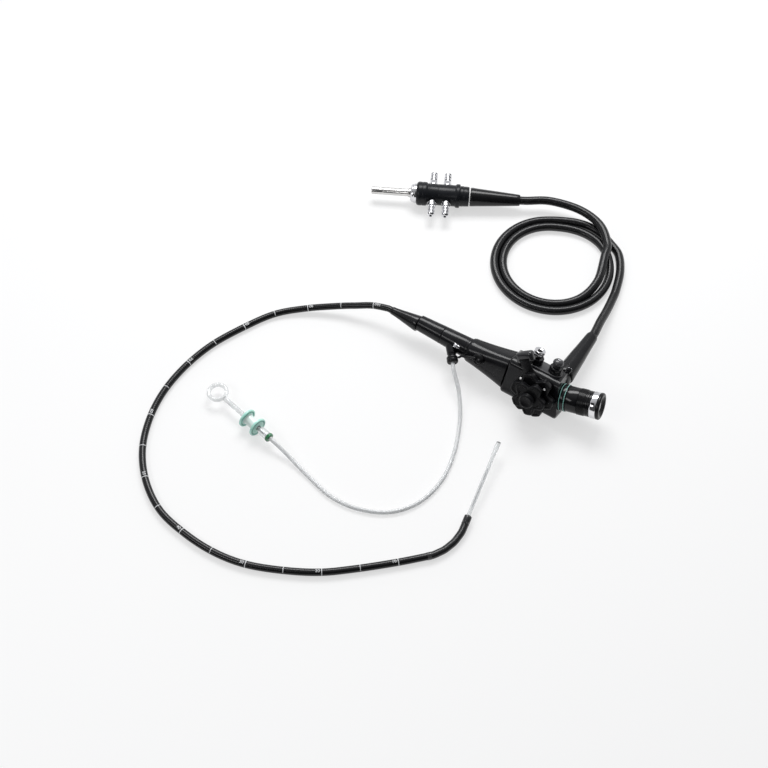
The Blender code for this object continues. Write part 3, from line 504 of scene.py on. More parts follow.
# ---------------- bending section
# Eight short hinged lengths under one soft black rubber sleeve, whipped with thread and
# glue at both ends. The laser-cut steel rings inside it are the model's own.
sleeve_radius = 0.00505
whipping_radius = 0.0053
joint_places = {j["name"]: Vector(j["pos_m"]) for j in frame["record"]["behaviour"]["joints"]
                if "pos_m" in j}
hinges = []
for n in range(1, 5):
    hinges += [joint_places["sideways_hinge_%d" % n], joint_places["upwards_hinge_%d" % n]]
tip_axes = axes(hinges[-1], (-0.17526, 0.97996, 0.09469), (-0.01792, -0.09934, 0.99489))
tip_low, tip_high = 4.25, 16.25
soft_black = (0.004, 0.004, 0.005), (0.008, 0.008, 0.009)
sleeve_rubber = moulded("sleeve_rubber", "black_rubber", *soft_black, 0.22, grain=2200)
hoops(sleeve_rubber, 0.0012, 0.00006, 0.6)
laser_cut_steel = moulded("laser_cut_steel", "steel", (0.42, 0.42, 0.43), (0.55, 0.55, 0.56), 0.32,
                          metal=1.0)
whipping_glue = moulded("whipping_glue", "black_rubber", *soft_black, 0.12, coat=0.6)
hoops(whipping_glue, 0.0006, 0.00012)
meets = [bend_start + bend_way * 0.0003]
meets += [(a + b) / 2 for a, b in zip(hinges, hinges[1:])] + on_axis(tip_axes, tip_low)
for n, knee in enumerate(hinges):
    start, end = meets[n], meets[n + 1]
    bow = [start * (1 - t) ** 2 + knee * 2 * t * (1 - t) + end * t * t
           for t in [i / 14 for i in range(15)]]
    length = piece("bending_sleeve_%d" % (n + 1), strand(bow, sleeve_radius, 28, False),
                   sleeve_rubber, *(["bending_cover"] if n == 4 else []), body=None)
    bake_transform(length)
root_whip = [bend_start + bend_way * s for s in (-0.0040, -0.0034, 0.0012, 0.0018)]
piece("root_whipping", strand(smooth_route(root_whip, 0.0004), whipping_radius, 28),
      whipping_glue)
for node in frame["nodes"]:
    if node.startswith("bend_ring"):
        for holder in frame["nodes"][node].material_slots:
            holder.material = laser_cut_steel

# ---------------- distal tip
# A hard black cap with the objective, two light guides and the mouth of the working
# channel, which is drilled through it.
tip_radius = 5.2


def soften(work, edges, radius, segments=2):
    """Round some edges of a shape."""
    bmesh.ops.bevel(work, geom=edges, offset=radius, offset_type="OFFSET", segments=segments,
                    profile=0.5, affect="EDGES", material=-1, clamp_overlap=True)


def placed(work, placing):
    """Move a finished shape to its place."""
    bmesh.ops.transform(work, matrix=placing, verts=work.verts)
    return work


def shift(x, y, z):
    """A straight move."""
    return Matrix.Translation((x, y, z))


def tilt(degrees, axis="X"):
    """A turn about one axis."""
    return Matrix.Rotation(math.radians(degrees), 4, axis)


def turned(profile, placing, steps=72, edge=0.3, sharp=25):
    """Spin a profile of (radius, height) in millimetres about Z and soften its sharp rims."""
    work = bmesh.new()
    verts = [work.verts.new((r / 1000, 0, h / 1000)) for r, h in profile]
    lines = [work.edges.new(pair) for pair in zip(verts, verts[1:])]
    if profile[0][0] > 0:
        lines.append(work.edges.new((verts[-1], verts[0])))
    bmesh.ops.spin(work, geom=verts + lines, cent=(0, 0, 0), axis=(0, 0, 1), angle=math.tau,
                   steps=steps, use_merge=True, use_duplicate=False)
    bmesh.ops.remove_doubles(work, verts=work.verts, dist=0.000001)
    bmesh.ops.recalc_face_normals(work, faces=work.faces)
    rims = [e for e in work.edges if len(e.link_faces) == 2
            and e.calc_face_angle(0) > math.radians(sharp)
            and abs(e.verts[0].co.z - e.verts[1].co.z) < 0.000001]
    if edge and rims:
        soften(work, rims, edge / 1000)
    return placed(work, placing)


def drilled(work, drills):
    """Cut other shapes out of a shape and return what is left."""
    body = put("body", mesh_of("body", work))
    cutters = []
    for drill in drills:
        bmesh.ops.recalc_face_normals(drill, faces=drill.faces)
        cutters.append(put("cutter", mesh_of("cutter", drill)))
        cut = body.modifiers.new("cut", "BOOLEAN")
        cut.operation, cut.object = "DIFFERENCE", cutters[-1]
    bpy.context.view_layer.update()
    left = body.evaluated_get(bpy.context.evaluated_depsgraph_get())
    result = bmesh.new()
    result.from_mesh(bpy.data.meshes.new_from_object(left))
    for scrap in [body] + cutters:
        bpy.data.objects.remove(scrap, do_unlink=True)
    return result


channel = tip_axes @ shift(0.0017, 0, 0)
tip_plastic = moulded("tip_plastic", "black_plastic", (0.009, 0.009, 0.010), (0.016, 0.016, 0.018),
                      0.24)
lens_glass = moulded("lens_glass", "lens_glass", (0.010, 0.012, 0.022), (0.018, 0.022, 0.035),
                     0.05, depth=0.000001, coat=1.0)
fibre_glass = moulded("fibre_glass", "lens_glass", (0.55, 0.58, 0.60), (0.72, 0.75, 0.76), 0.12,
                      grain=9000, coat=0.8)
tip_shape = turned([(0, tip_high), (tip_radius - 1.2, tip_high),
                    (tip_radius - 0.3, tip_high - 0.4), (tip_radius, tip_high - 1.4),
                    (tip_radius, tip_low + 3), (tip_radius - 0.3, tip_low + 2.7),
                    (tip_radius, tip_low + 2.4), (tip_radius, tip_low), (0, tip_low)], tip_axes)
optics = [("objective", "objective_lens", -0.0031, 0, 1.2, lens_glass),
          ("left_light", "light_guide_lens_left", -0.0021, -0.0032, 0.8, fibre_glass),
          ("right_light", "light_guide_lens_right", -0.0021, 0.0032, 0.8, fibre_glass)]


def bore(radius, low, high, placing, steps):
    """A plain round drill between two heights."""
    return turned([(0, high), (radius, high), (radius, low), (0, low)], placing, steps, 0)


drills = [bore(3, tip_high - 7.8, tip_high + 2, channel, 40)]
for name, node, up, across, radius, glass in optics:
    drills.append(bore(radius + 0.3, tip_high - 1, tip_high + 2, tip_axes @ shift(up, across, 0),
                       32))
piece("tip_cap", drilled(tip_shape, drills), tip_plastic, "distal_tip", body="tip", crease=30)
for name, node, up, across, radius, glass in optics:
    piece(name + "_glass", turned([(0, tip_high + 0.08), (radius * 0.6, tip_high),
          (radius, tip_high - 0.3), (radius, tip_high - 1.2), (0, tip_high - 1.2)],
          tip_axes @ shift(up, across, 0), 32, 0), glass, node, body="tip", crease=60)
tip_whip = on_axis(tip_axes, tip_low - 0.6, tip_low, tip_low + 1.6, tip_low + 2.2)
piece("tip_whipping", strand(smooth_route(tip_whip, 0.0004), whipping_radius, 28),
      whipping_glue, body="tip")

# ---------------- sheath in the channel
# The clear sheath of the catheter comes out of the tip, straight and flared at its end, which
# is cut at a slant, with a steel wire inside its first part.
clear_sheath = clear("clear_sheath", (0.91, 0.925, 0.93), 0.10, 1.38, 0.6)
wire_steel = moulded("wire_steel", "steel", (0.45, 0.45, 0.47), (0.62, 0.62, 0.64), 0.25,
                     metal=1.0)
hoops(wire_steel, 0.0010, 0.00012)
sheath_end = tip_high + 118
reaches = [tip_high - 7.6 + i * (sheath_end - tip_high + 7.6) / 64 for i in range(65)]
sheath_radii = [0.0027 + 0.0006 * ease((h - (sheath_end - 30)) / 18) for h in reaches]
sheath_route = on_axis(channel, *reaches)
sheath_length = lengths_along(sheath_route)[-1]
channel_way = channel.to_3x3() @ Vector((0, 0, 1))
slant, slanted_part = 0.0050, 0.012
cut_sheath = strand(sheath_route, sheath_radii, 28)
lie = cut_sheath.verts.layers.float_vector["lie"]
for vert in cut_sheath.verts:
    share = ease((vert[lie][2] - sheath_length + slanted_part) / slanted_part)
    vert.co -= channel_way * slant * share * (0.5 + 0.5 * vert[lie][1])
sheath = piece("channel_sheath", cut_sheath, clear_sheath, "distal_sheath", body="tip")
wire_route = on_axis(channel, *[tip_high + 12 + 1.5 * i for i in range(41)])
wire = piece("channel_wire", strand(wire_route, 0.0007, 14), wire_steel, "sheath_wire",
             body="wire")
# A dark disc set just inside the slanted end of the sheath: painted shade standing in for the
# shadow inside its open bore.
painted_mouth_shade = turned([(0, 0.3), (2.3, 0.3), (2.3, -1), (0, -1)], Matrix(), 32, 0.2)
for vert in painted_mouth_shade.verts:
    vert.co.z += sheath_end / 1000 - slant * (0.5 + 0.5 * vert.co.x / 0.0033)
# Near-black finish of that disc: painted shade in the sheath's mouth, not a steel part.
painted_lumen_shade = moulded("painted_lumen_shade", "steel", (0.02, 0.02, 0.022), (0.03, 0.03, 0.034), 0.3)
painted_shade_disc = piece("sheath_painted_shade", placed(painted_mouth_shade, channel), painted_lumen_shade, body="tip")

# ---------------- boot and forceps section
# A soft black boot over the root of the tube, then two turned sleeves with a fine seam. The
# second one carries the slanting branch of the biopsy port.
rubber_black = (0.005, 0.005, 0.006), (0.009, 0.009, 0.010)
boot_rubber = moulded("boot_rubber", "black_rubber", *rubber_black, 0.22, coat=0.2, specular=0.22)
body_plastic = moulded("body_plastic", "black_plastic", (0.005, 0.005, 0.006),
                       (0.009, 0.009, 0.011), 0.20, coat=0.08, specular=0.22)
body_axis = axes((0, 0, axis_height), (1, 0, 0))
piece("tube_boot", turned([(0, -200), (11.6, -200), (11.8, -201.5), (11.2, -206), (10, -214),
      (8.8, -221.5), (7.6, -229), (6.6, -236), (6, -241), (5.8, -245), (0, -245)], boot_line, 72,
      0.3, 30), boot_rubber, "insertion_boot", crease=32)
piece("rear_sleeve", turned([(0, -159.3), (13.1, -159.3), (13.5, -159.8), (13.1, -168),
      (12.5, -182), (11.9, -195), (11.8, -199), (11.3, -199.7), (0, -199.7)], body_axis, 96, 0.2),
      body_plastic, "forceps_sleeve_rear")
piece("port_sleeve", turned([(0, -115), (14.7, -115), (15.2, -115.6), (15.2, -118), (14.8, -118.6),
      (15, -119.4), (14.1, -145), (13.7, -156), (13.5, -158.6), (13.2, -159), (0, -159)],
      body_axis, 96, 0.2), body_plastic, "forceps_sleeve")
port = axes(port_base, port_way)
piece("port_branch", turned([(0, 30), (5.6, 30), (5.8, 26.2), (6.7, 25.6), (6.8, 24), (7.4, 16),
      (8, 10), (8.8, 6), (0, 6)], port, 72, 0.3), body_plastic)

# ---------------- biopsy valve
# A soft black cap on the port with the catheter through its slit. Its lid hangs open on a
# moulded strap, with two plugs on it. A small steel clip sits beside it on the sleeve.
valve_rubber = moulded("valve_rubber", "black_rubber", *rubber_black, 0.28, grain=1900,
                       specular=0.22)
piece("valve_cap", turned([(3.1, 39.8), (6, 40), (7.4, 39.2), (8.1, 37.6), (8.2, 35.2),
      (7.6, 34.6), (7.6, 33.8), (8.2, 33), (8, 31), (7.4, 30.3), (3.1, 30.3)], port, 72, 0.3),
      valve_rubber, "biopsy_valve")
lid_way = Vector((0, -0.80, 0.60))
lid_base = Vector((-0.0925, 0, axis_height)) + lid_way * 0.0200
lid_axes = axes(lid_base, lid_way)
piece("valve_lid", turned([(0, 4.4), (7, 4.4), (8, 3.6), (8.2, 2.4), (8, 0.8), (7, 0), (0, 0)],
      lid_axes, 64, 0.3), valve_rubber, "biopsy_lid")
for name, aside, reach, radius in (("main_plug", -0.0028, 9.5, 3.6),
                                   ("small_plug", 0.0046, 8, 2.6)):
    piece("lid_" + name, turned([(0, reach), (radius * 0.7, reach - 0.2), (radius, reach - 1.4),
          (radius * 0.92, reach - 2.6), (radius, 4.2), (0, 4.2)], lid_axes @ shift(0, aside, 0),
          48, 0.2), valve_rubber)
strap_points = mm((-120.78, -22.37, 31.6), (-116.8, -20.8, 36.2), (-113, -21.5, 38.5),
                  (-106, -19.6, 41)) + [lid_base + lid_way * 0.0022 + Vector((-0.004, 0, 0))]
piece("lid_strap", strand(smooth_route(strap_points, 0.0015), 0.0017, 16), valve_rubber)
bright_steel = moulded("bright_steel", "chrome", (0.62, 0.62, 0.64), (0.78, 0.78, 0.80), 0.16,
                       grain=2600, depth=0.00001, metal=1.0)
clip_place = shift(-0.1307, 0, axis_height) @ tilt(51)


def block(size, edge, segments, placing):
    """A block with all its edges rounded."""
    work = bmesh.new()
    bmesh.ops.create_cube(work, size=1)
    bmesh.ops.scale(work, verts=work.verts, vec=size)
    soften(work, list(work.edges), edge, segments)
    return placed(work, placing)


clip_leaf = clip_place @ shift(-0.0024, -0.0004, 0.0153) @ tilt(-32)
clip_foot = clip_place @ shift(0.0026, 0, 0.0148)
piece("port_clip", joined([block((0.0044, 0.0056, 0.0012), 0.0004, 2, clip_leaf),
                           block((0.0050, 0.0048, 0.0030), 0.0004, 2, clip_foot)]), bright_steel)

# ---------------- grip and head housing
# The moulded black grip swells from round to a rounded square, and meets the eight-sided
# head that carries the knobs, the valves, the cable socket and the eyepiece.
roll = math.radians(25)
valve_way = Vector((0, math.sin(roll), math.cos(roll)))
knob_way = Vector((0, -math.cos(roll), math.sin(roll)))


def body_point(x, valve=0.0, knob=0.0):
    """A point in the rolled directions of the control body."""
    return Vector((x, 0, axis_height)) + valve_way * valve + knob_way * knob


def grip_point(n, c, s):
    """A point of the grip's ring n, from round at its rear to a rounded square at the head."""
    share = n / grip_rings
    power = 2 + 1.6 * share
    swell = share ** 1.5
    chamfer = 0 if n else 0.0008
    wide, tall = 0.0178 + 0.0027 * swell - chamfer, 0.0178 + 0.0087 * swell - chamfer
    scale = (abs(c) ** power + abs(s) ** power) ** (-1 / power)
    return body_point(-0.1147 + 0.0644 * share, tall * s * scale, wide * c * scale), 0


grip_rings = 24
piece("grip_shell", swept(grip_rings + 1, 72, grip_point), body_plastic, "grip")


def prism(points, low, high, placing, edge, segments=3, sharp=50):
    """Fill an outline, extrude it from one height to another and round its rims."""
    work = bmesh.new()
    face = work.faces.new([work.verts.new((x, y, low)) for x, y in points])
    grown = bmesh.ops.extrude_face_region(work, geom=[face])["geom"]
    bmesh.ops.translate(work, verts=[g for g in grown if isinstance(g, bmesh.types.BMVert)],
                        vec=(0, 0, high - low))
    bmesh.ops.recalc_face_normals(work, faces=work.faces)
    rims = [e for e in work.edges if e.calc_face_angle(0) > math.radians(sharp)]
    soften(work, rims, edge, segments)
    return placed(work, placing)


def underside(knob):
    """Where the table's level lies, some way towards the knobs."""
    return (-axis_height - knob * math.sin(roll)) / math.cos(roll)


head_outline = [(0.020, 0.024), (0.014, 0.029), (-0.016, 0.029), (-0.024, 0.021),
                (-0.024, underside(-0.024)), (-0.0067, underside(-0.0067)),
                (0.014, underside(-0.0067)), (0.020, -0.024)]
eye = axes((0.033, 0, axis_height), (0.96954, 0.15356, 0.19081))
head_axes = Matrix((knob_way, valve_way, (-1, 0, 0))).transposed().to_4x4()
head_axes.translation = body_point(0)
head = prism(head_outline, -0.039, 0.050, head_axes, 0.0038, 5, 20)
bmesh.ops.bisect_plane(head, geom=head.verts[:] + head.edges[:] + head.faces[:],
                       plane_co=eye.translation, plane_no=eye.to_3x3() @ Vector((0, 0, 1)),
                       clear_outer=True)
bmesh.ops.edgeloop_fill(head, edges=[e for e in head.edges if len(e.link_faces) == 1])
piece("head_shell", head, body_plastic, "head_housing")
piece("cable_socket", turned([(0, 21.3), (12.6, 21.3), (13, 20.8), (13.2, 16), (14.2, 13),
      (14.2, 6), (0, 6)], boot_axes, 72, 0.3), body_plastic)

# ---------------- control knobs
# Two deep-lobed knobs on one shaft pull the tip up and down and from side to side. Each has
# its own brake: a thumb lever behind the large knob and a small knob in front.
knobs = axes(body_point(0), knob_way, (1, 0, 0))
knob_plastic = moulded("knob_plastic", "black_plastic", *soft_black, 0.27, grain=1700,
                       specular=0.18)


def lobed(lobes, radius, root, per_lobe=22):
    """A knob outline whose lobes have flat ends and open hollows."""
    points = []
    for i in range(lobes * per_lobe):
        angle = math.tau * i / (lobes * per_lobe)
        wave = 0.5 + 0.5 * math.cos(lobes * angle)
        reach = root + (radius - root) * min(1.0, 1.25 * wave ** 0.8)
        points.append(polar(reach, angle))
    return points


def wheel(lobes, radius, root, low, high, dish):
    """A lobed knob with rounded rims and a shallow dish round its middle."""
    shape = prism(lobed(lobes, radius, root), low, high, Matrix(), 0.0014, 4, 50)
    top = max(shape.faces, key=lambda f: f.calc_center_median().z + f.calc_area())
    bmesh.ops.inset_region(shape, faces=[top], thickness=0.0016, use_even_offset=True)
    bmesh.ops.inset_region(shape, faces=[top], thickness=0.0008, use_even_offset=True,
                           depth=-dish)
    return placed(shape, knobs)


piece("large_knob", wheel(6, 0.032, 0.0235, 0.024, 0.034, 0.0007), knob_plastic, "ud_knob",
      body="ud_knob", crease=30)
piece("small_knob", wheel(5, 0.0245, 0.0175, 0.0368, 0.046, 0.0006), knob_plastic, "lr_knob",
      body="lr_knob", crease=30)
piece("small_knob_hub", turned([(0, 37.2), (12.8, 37.2), (13, 36.8), (13, 34.6), (12.8, 34.3),
      (0, 34.3)], knobs, 64, 0.2), knob_plastic, body="lr_knob")
piece("brake_knob", turned([(0, 53.2), (6, 53.4), (7.4, 54), (9.2, 53.8), (10.5, 52.2), (10.5, 50),
      (10.1, 49.6), (10.5, 49.2), (10.5, 47), (9.8, 46.4), (0, 46.4)], knobs, 72, 0.3),
      knob_plastic, "lr_lock_knob", body="lr_lock")
for holder in frame["nodes"]["knob_shaft"].material_slots:
    holder.material = bright_steel


def beads(radius, placings):
    """Small balls, sunk into what carries them."""
    work = bmesh.new()
    for placing in placings:
        bmesh.ops.create_uvsphere(work, u_segments=20, v_segments=10, radius=radius,
                                  matrix=placing)
    return work


dot_white = moulded("dot_white", "white_plastic", (0.80, 0.80, 0.79), (0.88, 0.88, 0.87), 0.3)
piece("direction_dots", beads(0.0018, [shift(*body_point(x, valve, 0.0334))
      for x, valve in ((-0.0225, 0.0173), (0.0140, 0.0191))]), dot_white, body="ud_knob")
arm_degrees = 126
arm_turn = math.radians(arm_degrees)
arm = Vector(polar(1, arm_turn))
side = Vector((-arm.y, arm.x))
hub_from, hub_to = arm_turn + math.radians(38), arm_turn + math.tau - math.radians(38)
lever_points = [polar(0.014, hub_from + (hub_to - hub_from) * i / 40) for i in range(41)]
lever_points += [tuple(arm * reach + side * half) for reach, half in (
    (0.044, -0.007), (0.052, -0.009), (0.052, 0.009), (0.044, 0.007))]
piece("brake_lever", prism(lever_points, 0.0204, 0.0236, knobs, 0.0007, 2, 40), knob_plastic,
      "ud_lock_lever", body="ud_lock")
pad_place = knobs @ shift(0, 0, 0.0172) @ tilt(arm_degrees - 90, "Z") @ shift(0, 0.052, 0)
pad = block((0.026, 0.016, 0.0128), 0.0045, 6, pad_place)
pad_plastic = moulded("pad_plastic", "black_plastic", (0.012, 0.012, 0.014), (0.020, 0.020, 0.023),
                      0.22, coat=0.4)
piece("lever_pad", pad, pad_plastic, body="ud_lock")

# ---------------- valves
# The suction valve is a tall chromed button in a black socket. The air and water valve is a
# black dome with a chromed vent. A satin plate joins the two sockets.
chrome = moulded("chrome", "chrome", (0.66, 0.66, 0.68), (0.80, 0.80, 0.82), 0.09, grain=3000,
                 depth=0.000008, metal=1.0)
satin_grey = moulded("satin_grey", "black_plastic", (0.030, 0.030, 0.033), (0.050, 0.050, 0.054),
                     0.30, grain=2400, coat=0.3)
suction_place, water_place = -0.0186, 0.0114
plate_points = []
for i in range(64):
    x, y = polar(0.0112, math.tau * i / 64)
    plate_points.append((x + (water_place if x >= 0 else suction_place), y))
middle, suction, water = [axes(body_point(x), valve_way, (1, 0, 0))
                          for x in (0, suction_place, water_place)]
piece("valve_plate", prism(plate_points, 0.0285, 0.0310, middle, 0.0008, 3, 40), satin_grey)
for name, seat in (("suction", suction), ("air_water", water)):
    piece(name + "_seat", turned([(8.6, 40), (9.2, 39.8), (9.5, 39), (9.5, 35.2), (9.1, 34.8),
          (9.1, 34.2), (9.5, 33.8), (9.8, 31), (9.8, 29.3), (5, 29.3), (5, 39.6), (8, 39.6)], seat,
          72, 0.2), body_plastic, name + "_socket")
piece("suction_stem", turned([(0, 50.8), (3.6, 50.8), (4.6, 51.4), (6.2, 52), (7.4, 51.8),
      (7.8, 50.8), (7.8, 49.6), (7.1, 48.9), (7.1, 48), (7.8, 47.3), (7.8, 45.8), (6.8, 44.6),
      (4.5, 44.5), (4.5, 35.6), (0, 35.6)], suction, 80, 0.2), chrome, "suction_button",
      body="suction_button")
piece("suction_ring", turned([(7.2, 48.8), (7.7, 48.8), (7.7, 48.1), (7.2, 48.1)], suction, 80,
      0.2), knob_plastic, body="suction_button")
piece("suction_mark", turned([(0, 51.2), (3, 51.2), (3.4, 50.9), (0, 50.7)], suction, 48, 0.1),
      knob_plastic, body="suction_button")
piece("air_water_dome", turned([(0, 51.9), (2.2, 51.8), (4.6, 51.2), (6.4, 50), (7.5, 48.3),
      (7.8, 46.6), (7.4, 45.2), (6.6, 44.5), (4.5, 44.5), (4.5, 35.6), (0, 35.6)], water, 80, 0.2),
      satin_grey, "air_water_button", body="air_water_button")
piece("air_water_vent", turned([(0.9, 52.3), (1.8, 52.3), (2.2, 51.9), (2.2, 51.2), (0.9, 51.2)],
      water, 48, 0.1), chrome, body="air_water_button")
vent_way = (valve_way - knob_way).normalized()
vent_axes = axes(body_point(0.0235, 0.0250, -0.0200) + vent_way * 0.0003, vent_way, (1, 0, 0))
piece("vent_cap_body", turned([(0, 8.5), (2.6, 8.5), (3.6, 8), (4.2, 7), (4.2, 3.8), (3.4, 3.2),
      (3.4, 0), (0, 0)], vent_axes, 64, 0.2), body_plastic, "vent_cap")
piece("vent_pins", beads(0.0011, [vent_axes @ shift(x, 0, 0.0083) for x in (-0.0017, 0.0017)]),
      chrome)

# ---------------- eyepiece
# A turned black barrel leaning away from the head. Two thin teal rings mark its root, a
# ribbed dioptre ring turns before a polished collar, and a soft cup holds the lens.
teal_paint = moulded("teal_paint", "teal_plastic", (0.24, 0.56, 0.49), (0.32, 0.64, 0.57), 0.35)
barrel_black = moulded("barrel_black", "black_plastic", *cable_black, 0.15, specular=0.3)
piece("eyepiece_root", turned([(0, 9.8), (18.8, 9.8), (19, 9.5), (19, 8.8), (18.4, 8.7),
      (18.4, 7.7), (19, 7.6), (19, 2.2), (18.4, 2.1), (18.4, 1.1), (19, 1), (18.9, 0.3), (0, 0.3)],
      eye, 112, 0.1), barrel_black, "eyepiece_neck")
for name, middle in (("rear", 1.6), ("front", 8.2)):
    piece(name + "_teal_ring", turned([(19.4, middle + 0.4), (19.4, middle - 0.4),
          (18.5, middle - 0.4), (18.5, middle + 0.4)], eye, 112, 0.15), teal_paint,
          "teal_ring_" + name)
piece("eyepiece_tube", turned([(0, 44), (17.8, 44), (18.25, 43.7), (18.25, 41.8), (17.6, 41.5),
      (17.6, 40.9), (18.25, 40.6), (18.25, 38.8), (17.6, 38.5), (17.6, 37.9), (18.25, 37.6),
      (18.25, 36.3), (15.2, 36.3), (15.2, 25.7), (18.25, 25.7), (18.25, 10.4), (17.9, 10.1),
      (0, 10.1)], eye, 112, 0.15), barrel_black, "eyepiece_barrel")
ribs = [(18.6, 36), (18.8, 35.7)]
for n in range(6):
    low = 35 - 1.6 * n
    ribs += [(18.8, low), (18.4, low - 0.2), (18.4, low - 0.5), (18.8, low - 0.7)]
ribs += [(18.8, 26.3), (18.6, 26), (15.5, 26), (15.5, 36)]
piece("dioptre_ring", turned(ribs, eye, 112, 0), knob_plastic, "diopter_ring", body="diopter_ring",
      crease=30)
piece("polished_collar", turned([(0, 53.5), (18.4, 53.5), (19, 53), (19, 45.8), (18.6, 45),
      (18.25, 44.3), (0, 44.3)], eye, 112, 0.2), chrome, "eyepiece_collar")
toward = eye.to_3x3().transposed() @ Vector((0.30, -0.46, 0.84))
notch_turn = math.degrees(math.atan2(toward.y, toward.x))
notch_place = eye @ tilt(notch_turn, "Z") @ shift(0.0187, 0, 0.0482)
piece("collar_mark", block((0.0012, 0.0034, 0.0046), 0.0004, 2, notch_place), knob_plastic)
cup_rubber = moulded("cup_rubber", "black_rubber", *soft_black, 0.28, specular=0.22)
piece("eyecup_rubber", turned([(15, 58.3), (17.2, 58.3), (18.4, 57.7), (19, 56.5), (19, 54),
      (18.7, 53.8), (9.3, 53.8), (9.3, 55.3), (10.4, 55.6), (10.6, 56.2), (11.8, 56.3), (12, 57),
      (13.6, 57.1), (13.8, 57.9)], eye, 112, 0.2), cup_rubber, "eyecup")
piece("eye_lens", turned([(0, 55.7), (3, 55.6), (6, 55.4), (8.4, 55), (9, 54.7), (9, 53.8),
      (0, 53.8)], eye, 96, 0), lens_glass, "eyepiece_lens")

# ---------------- umbilical boot
# A long soft cone that keeps the cable from kinking at the head, with a step at its end.
piece("cable_boot", turned([(0, 112.3), (7.4, 112.3), (7.9, 111.8), (8, 110), (8.7, 109.4),
      (9, 106), (9.9, 90), (10.9, 75), (11.8, 65), (12.7, 50), (13.7, 36), (14.4, 26.2),
      (14.5, 24), (13.8, 21.8), (0, 21.6)], boot_axes, 88, 0.3, 30), boot_rubber, "umbilical_boot",
      crease=32)

# ---------------- light guide connector
# A stepped black body behind a long boot, with a white seal between them. The polished prong
# plugs into the light source, and four chromed hose nozzles stand out of its sides.
plug = axes(connector_start, connector_way)
piece("connector_boot", turned([(0, 78), (14, 78), (14.5, 77.2), (14.6, 75.5), (13.9, 68),
      (13, 56), (11.8, 40), (10.4, 22), (9.2, 7), (8.8, 2.2), (8.2, 0.4), (0, 0.2)], plug, 88, 0.3,
      30), boot_rubber, "light_guide_boot", crease=32)
seal_white = moulded("seal_white", "white_plastic", (0.78, 0.78, 0.77), (0.86, 0.86, 0.85), 0.35)
piece("connector_seal", turned([(0, 79.7), (14.7, 79.7), (14.9, 79.4), (14.9, 78.6), (14.7, 78.3),
      (0, 78.3)], plug, 88, 0.1), seal_white, "light_guide_seal")
connector_black = moulded("connector_black", "black_plastic", (0.007, 0.008, 0.010),
                          (0.012, 0.013, 0.016), 0.28, specular=0.22)
piece("connector_body", turned([(0, 161.7), (16.6, 161.7), (17.6, 160.6), (18.5, 158.8),
      (18.5, 154), (18.1, 153.6), (18.1, 152.8), (18.5, 152.4), (18.5, 147.6), (18, 146.2),
      (16.8, 145.2), (16.5, 144.6), (16.5, 129.2), (16.2, 128.8), (16.2, 128), (16.5, 127.6),
      (16.5, 102), (16.8, 101.2), (18.2, 100), (18.5, 99), (18.5, 95.6), (18.2, 94.8), (16.2, 94),
      (15.8, 93.4), (15.8, 89), (15.4, 88.6), (15.4, 87.8), (15.6, 87.4), (15.2, 81.2), (14.8, 80),
      (0, 80)], plug, 112, 0.2, 30), connector_black, "light_guide_body", crease=32)
piece("connector_collar", turned([(0, 171), (12, 171), (12.5, 170.6), (13.4, 169.6), (14, 169),
      (14.2, 167.2), (15.5, 165.4), (15.5, 162), (0, 162)], plug, 96, 0.3), chrome,
      "light_guide_collar")
prong_steel = moulded("prong_steel", "chrome", (0.58, 0.57, 0.56), (0.74, 0.73, 0.72), 0.24,
                      grain=2600, depth=0.00001, metal=1.0)
prong = turned([(0, 233), (5.1, 233), (5.9, 232.2), (5.9, 216), (5.6, 215.7), (5.6, 214.9),
                (5.9, 214.6), (5.9, 175.2), (6.6, 175), (7.2, 174.4), (7.2, 171.3),
                (0, 171.3)], plug, 80, 0.2)
piece("light_prong", drilled(prong, [bore(3.6, 231, 235, plug, 48)]), prong_steel,
      "light_guide_prong", crease=30)
piece("prong_window", turned([(0, 231.6), (3.3, 231.4), (3.5, 230.8), (0, 230.4)], plug, 48, 0),
      fibre_glass, crease=60)
across_way = connector_way.cross(Vector((0, 0, 1)))
for n, (at, way) in enumerate(((0.115, 1), (0.137, 1), (0.115, -1), (0.137, -1)), 1):
    foot = connector_start + connector_way * at + across_way * way * 0.0168
    nozzle = axes(foot, across_way * way)
    barbs = turned([(0, 27.2), (3.4, 27.2), (4, 26.8), (5.8, 24.8), (5.8, 23.8), (4.6, 23.2),
                    (4.6, 21.4), (5.8, 19), (5.8, 18), (4.6, 17.4), (4.6, 15.2), (5.8, 12.8),
                    (5.8, 12), (4.6, 11.4), (4.6, 9.4), (6.2, 8.8), (6.4, 8), (6.4, 3),
                    (7, 2.6), (7, 0.2), (0, 0.2)], nozzle, 56, 0.15)
    piece("hose_nozzle_%d" % n, drilled(barbs, [bore(2.1, 12, 29, nozzle, 32)]), chrome,
          "nozzle_%d" % n, crease=30)

# ---------------- catheter handle
# A clear thumb ring on a clear rod, a sea-green spool that slides on it for the fingers, and
# a clear barrel with a dark steel rod inside, closed by a green collar.
handle = axes(handle_ring, handle_way)
clear_plastic = clear("clear_plastic", (0.94, 0.955, 0.96), 0.08, 1.48, 0.75)
thumb = bmesh.new()
bmesh.ops.create_circle(thumb, segments=28, radius=0.0030,
                        matrix=shift(0.0125, 0, 0) @ tilt(90))
bmesh.ops.spin(thumb, geom=thumb.verts[:] + thumb.edges[:], cent=(0, 0, 0), axis=(0, 0, 1),
               angle=math.tau, steps=72, use_merge=True, use_duplicate=False)
bmesh.ops.remove_doubles(thumb, verts=thumb.verts, dist=0.000001)
bmesh.ops.translate(thumb, verts=thumb.verts, vec=handle_ring)
piece("thumb_ring", thumb, clear_plastic, "handle_rod")
rod = [(0, 87.5), (3.5, 87.5)]
for n in range(8):
    low = 54 - 4 * n
    rod += [(3.5, low), (2.9, low - 0.6), (2.9, low - 1.6), (3.5, low - 2.2)]
rod += [(3.5, 18), (3, 15), (2.8, 14), (0, 13.8)]
piece("clear_rod", turned(rod, handle, 48, 0.1, 30), clear_plastic)
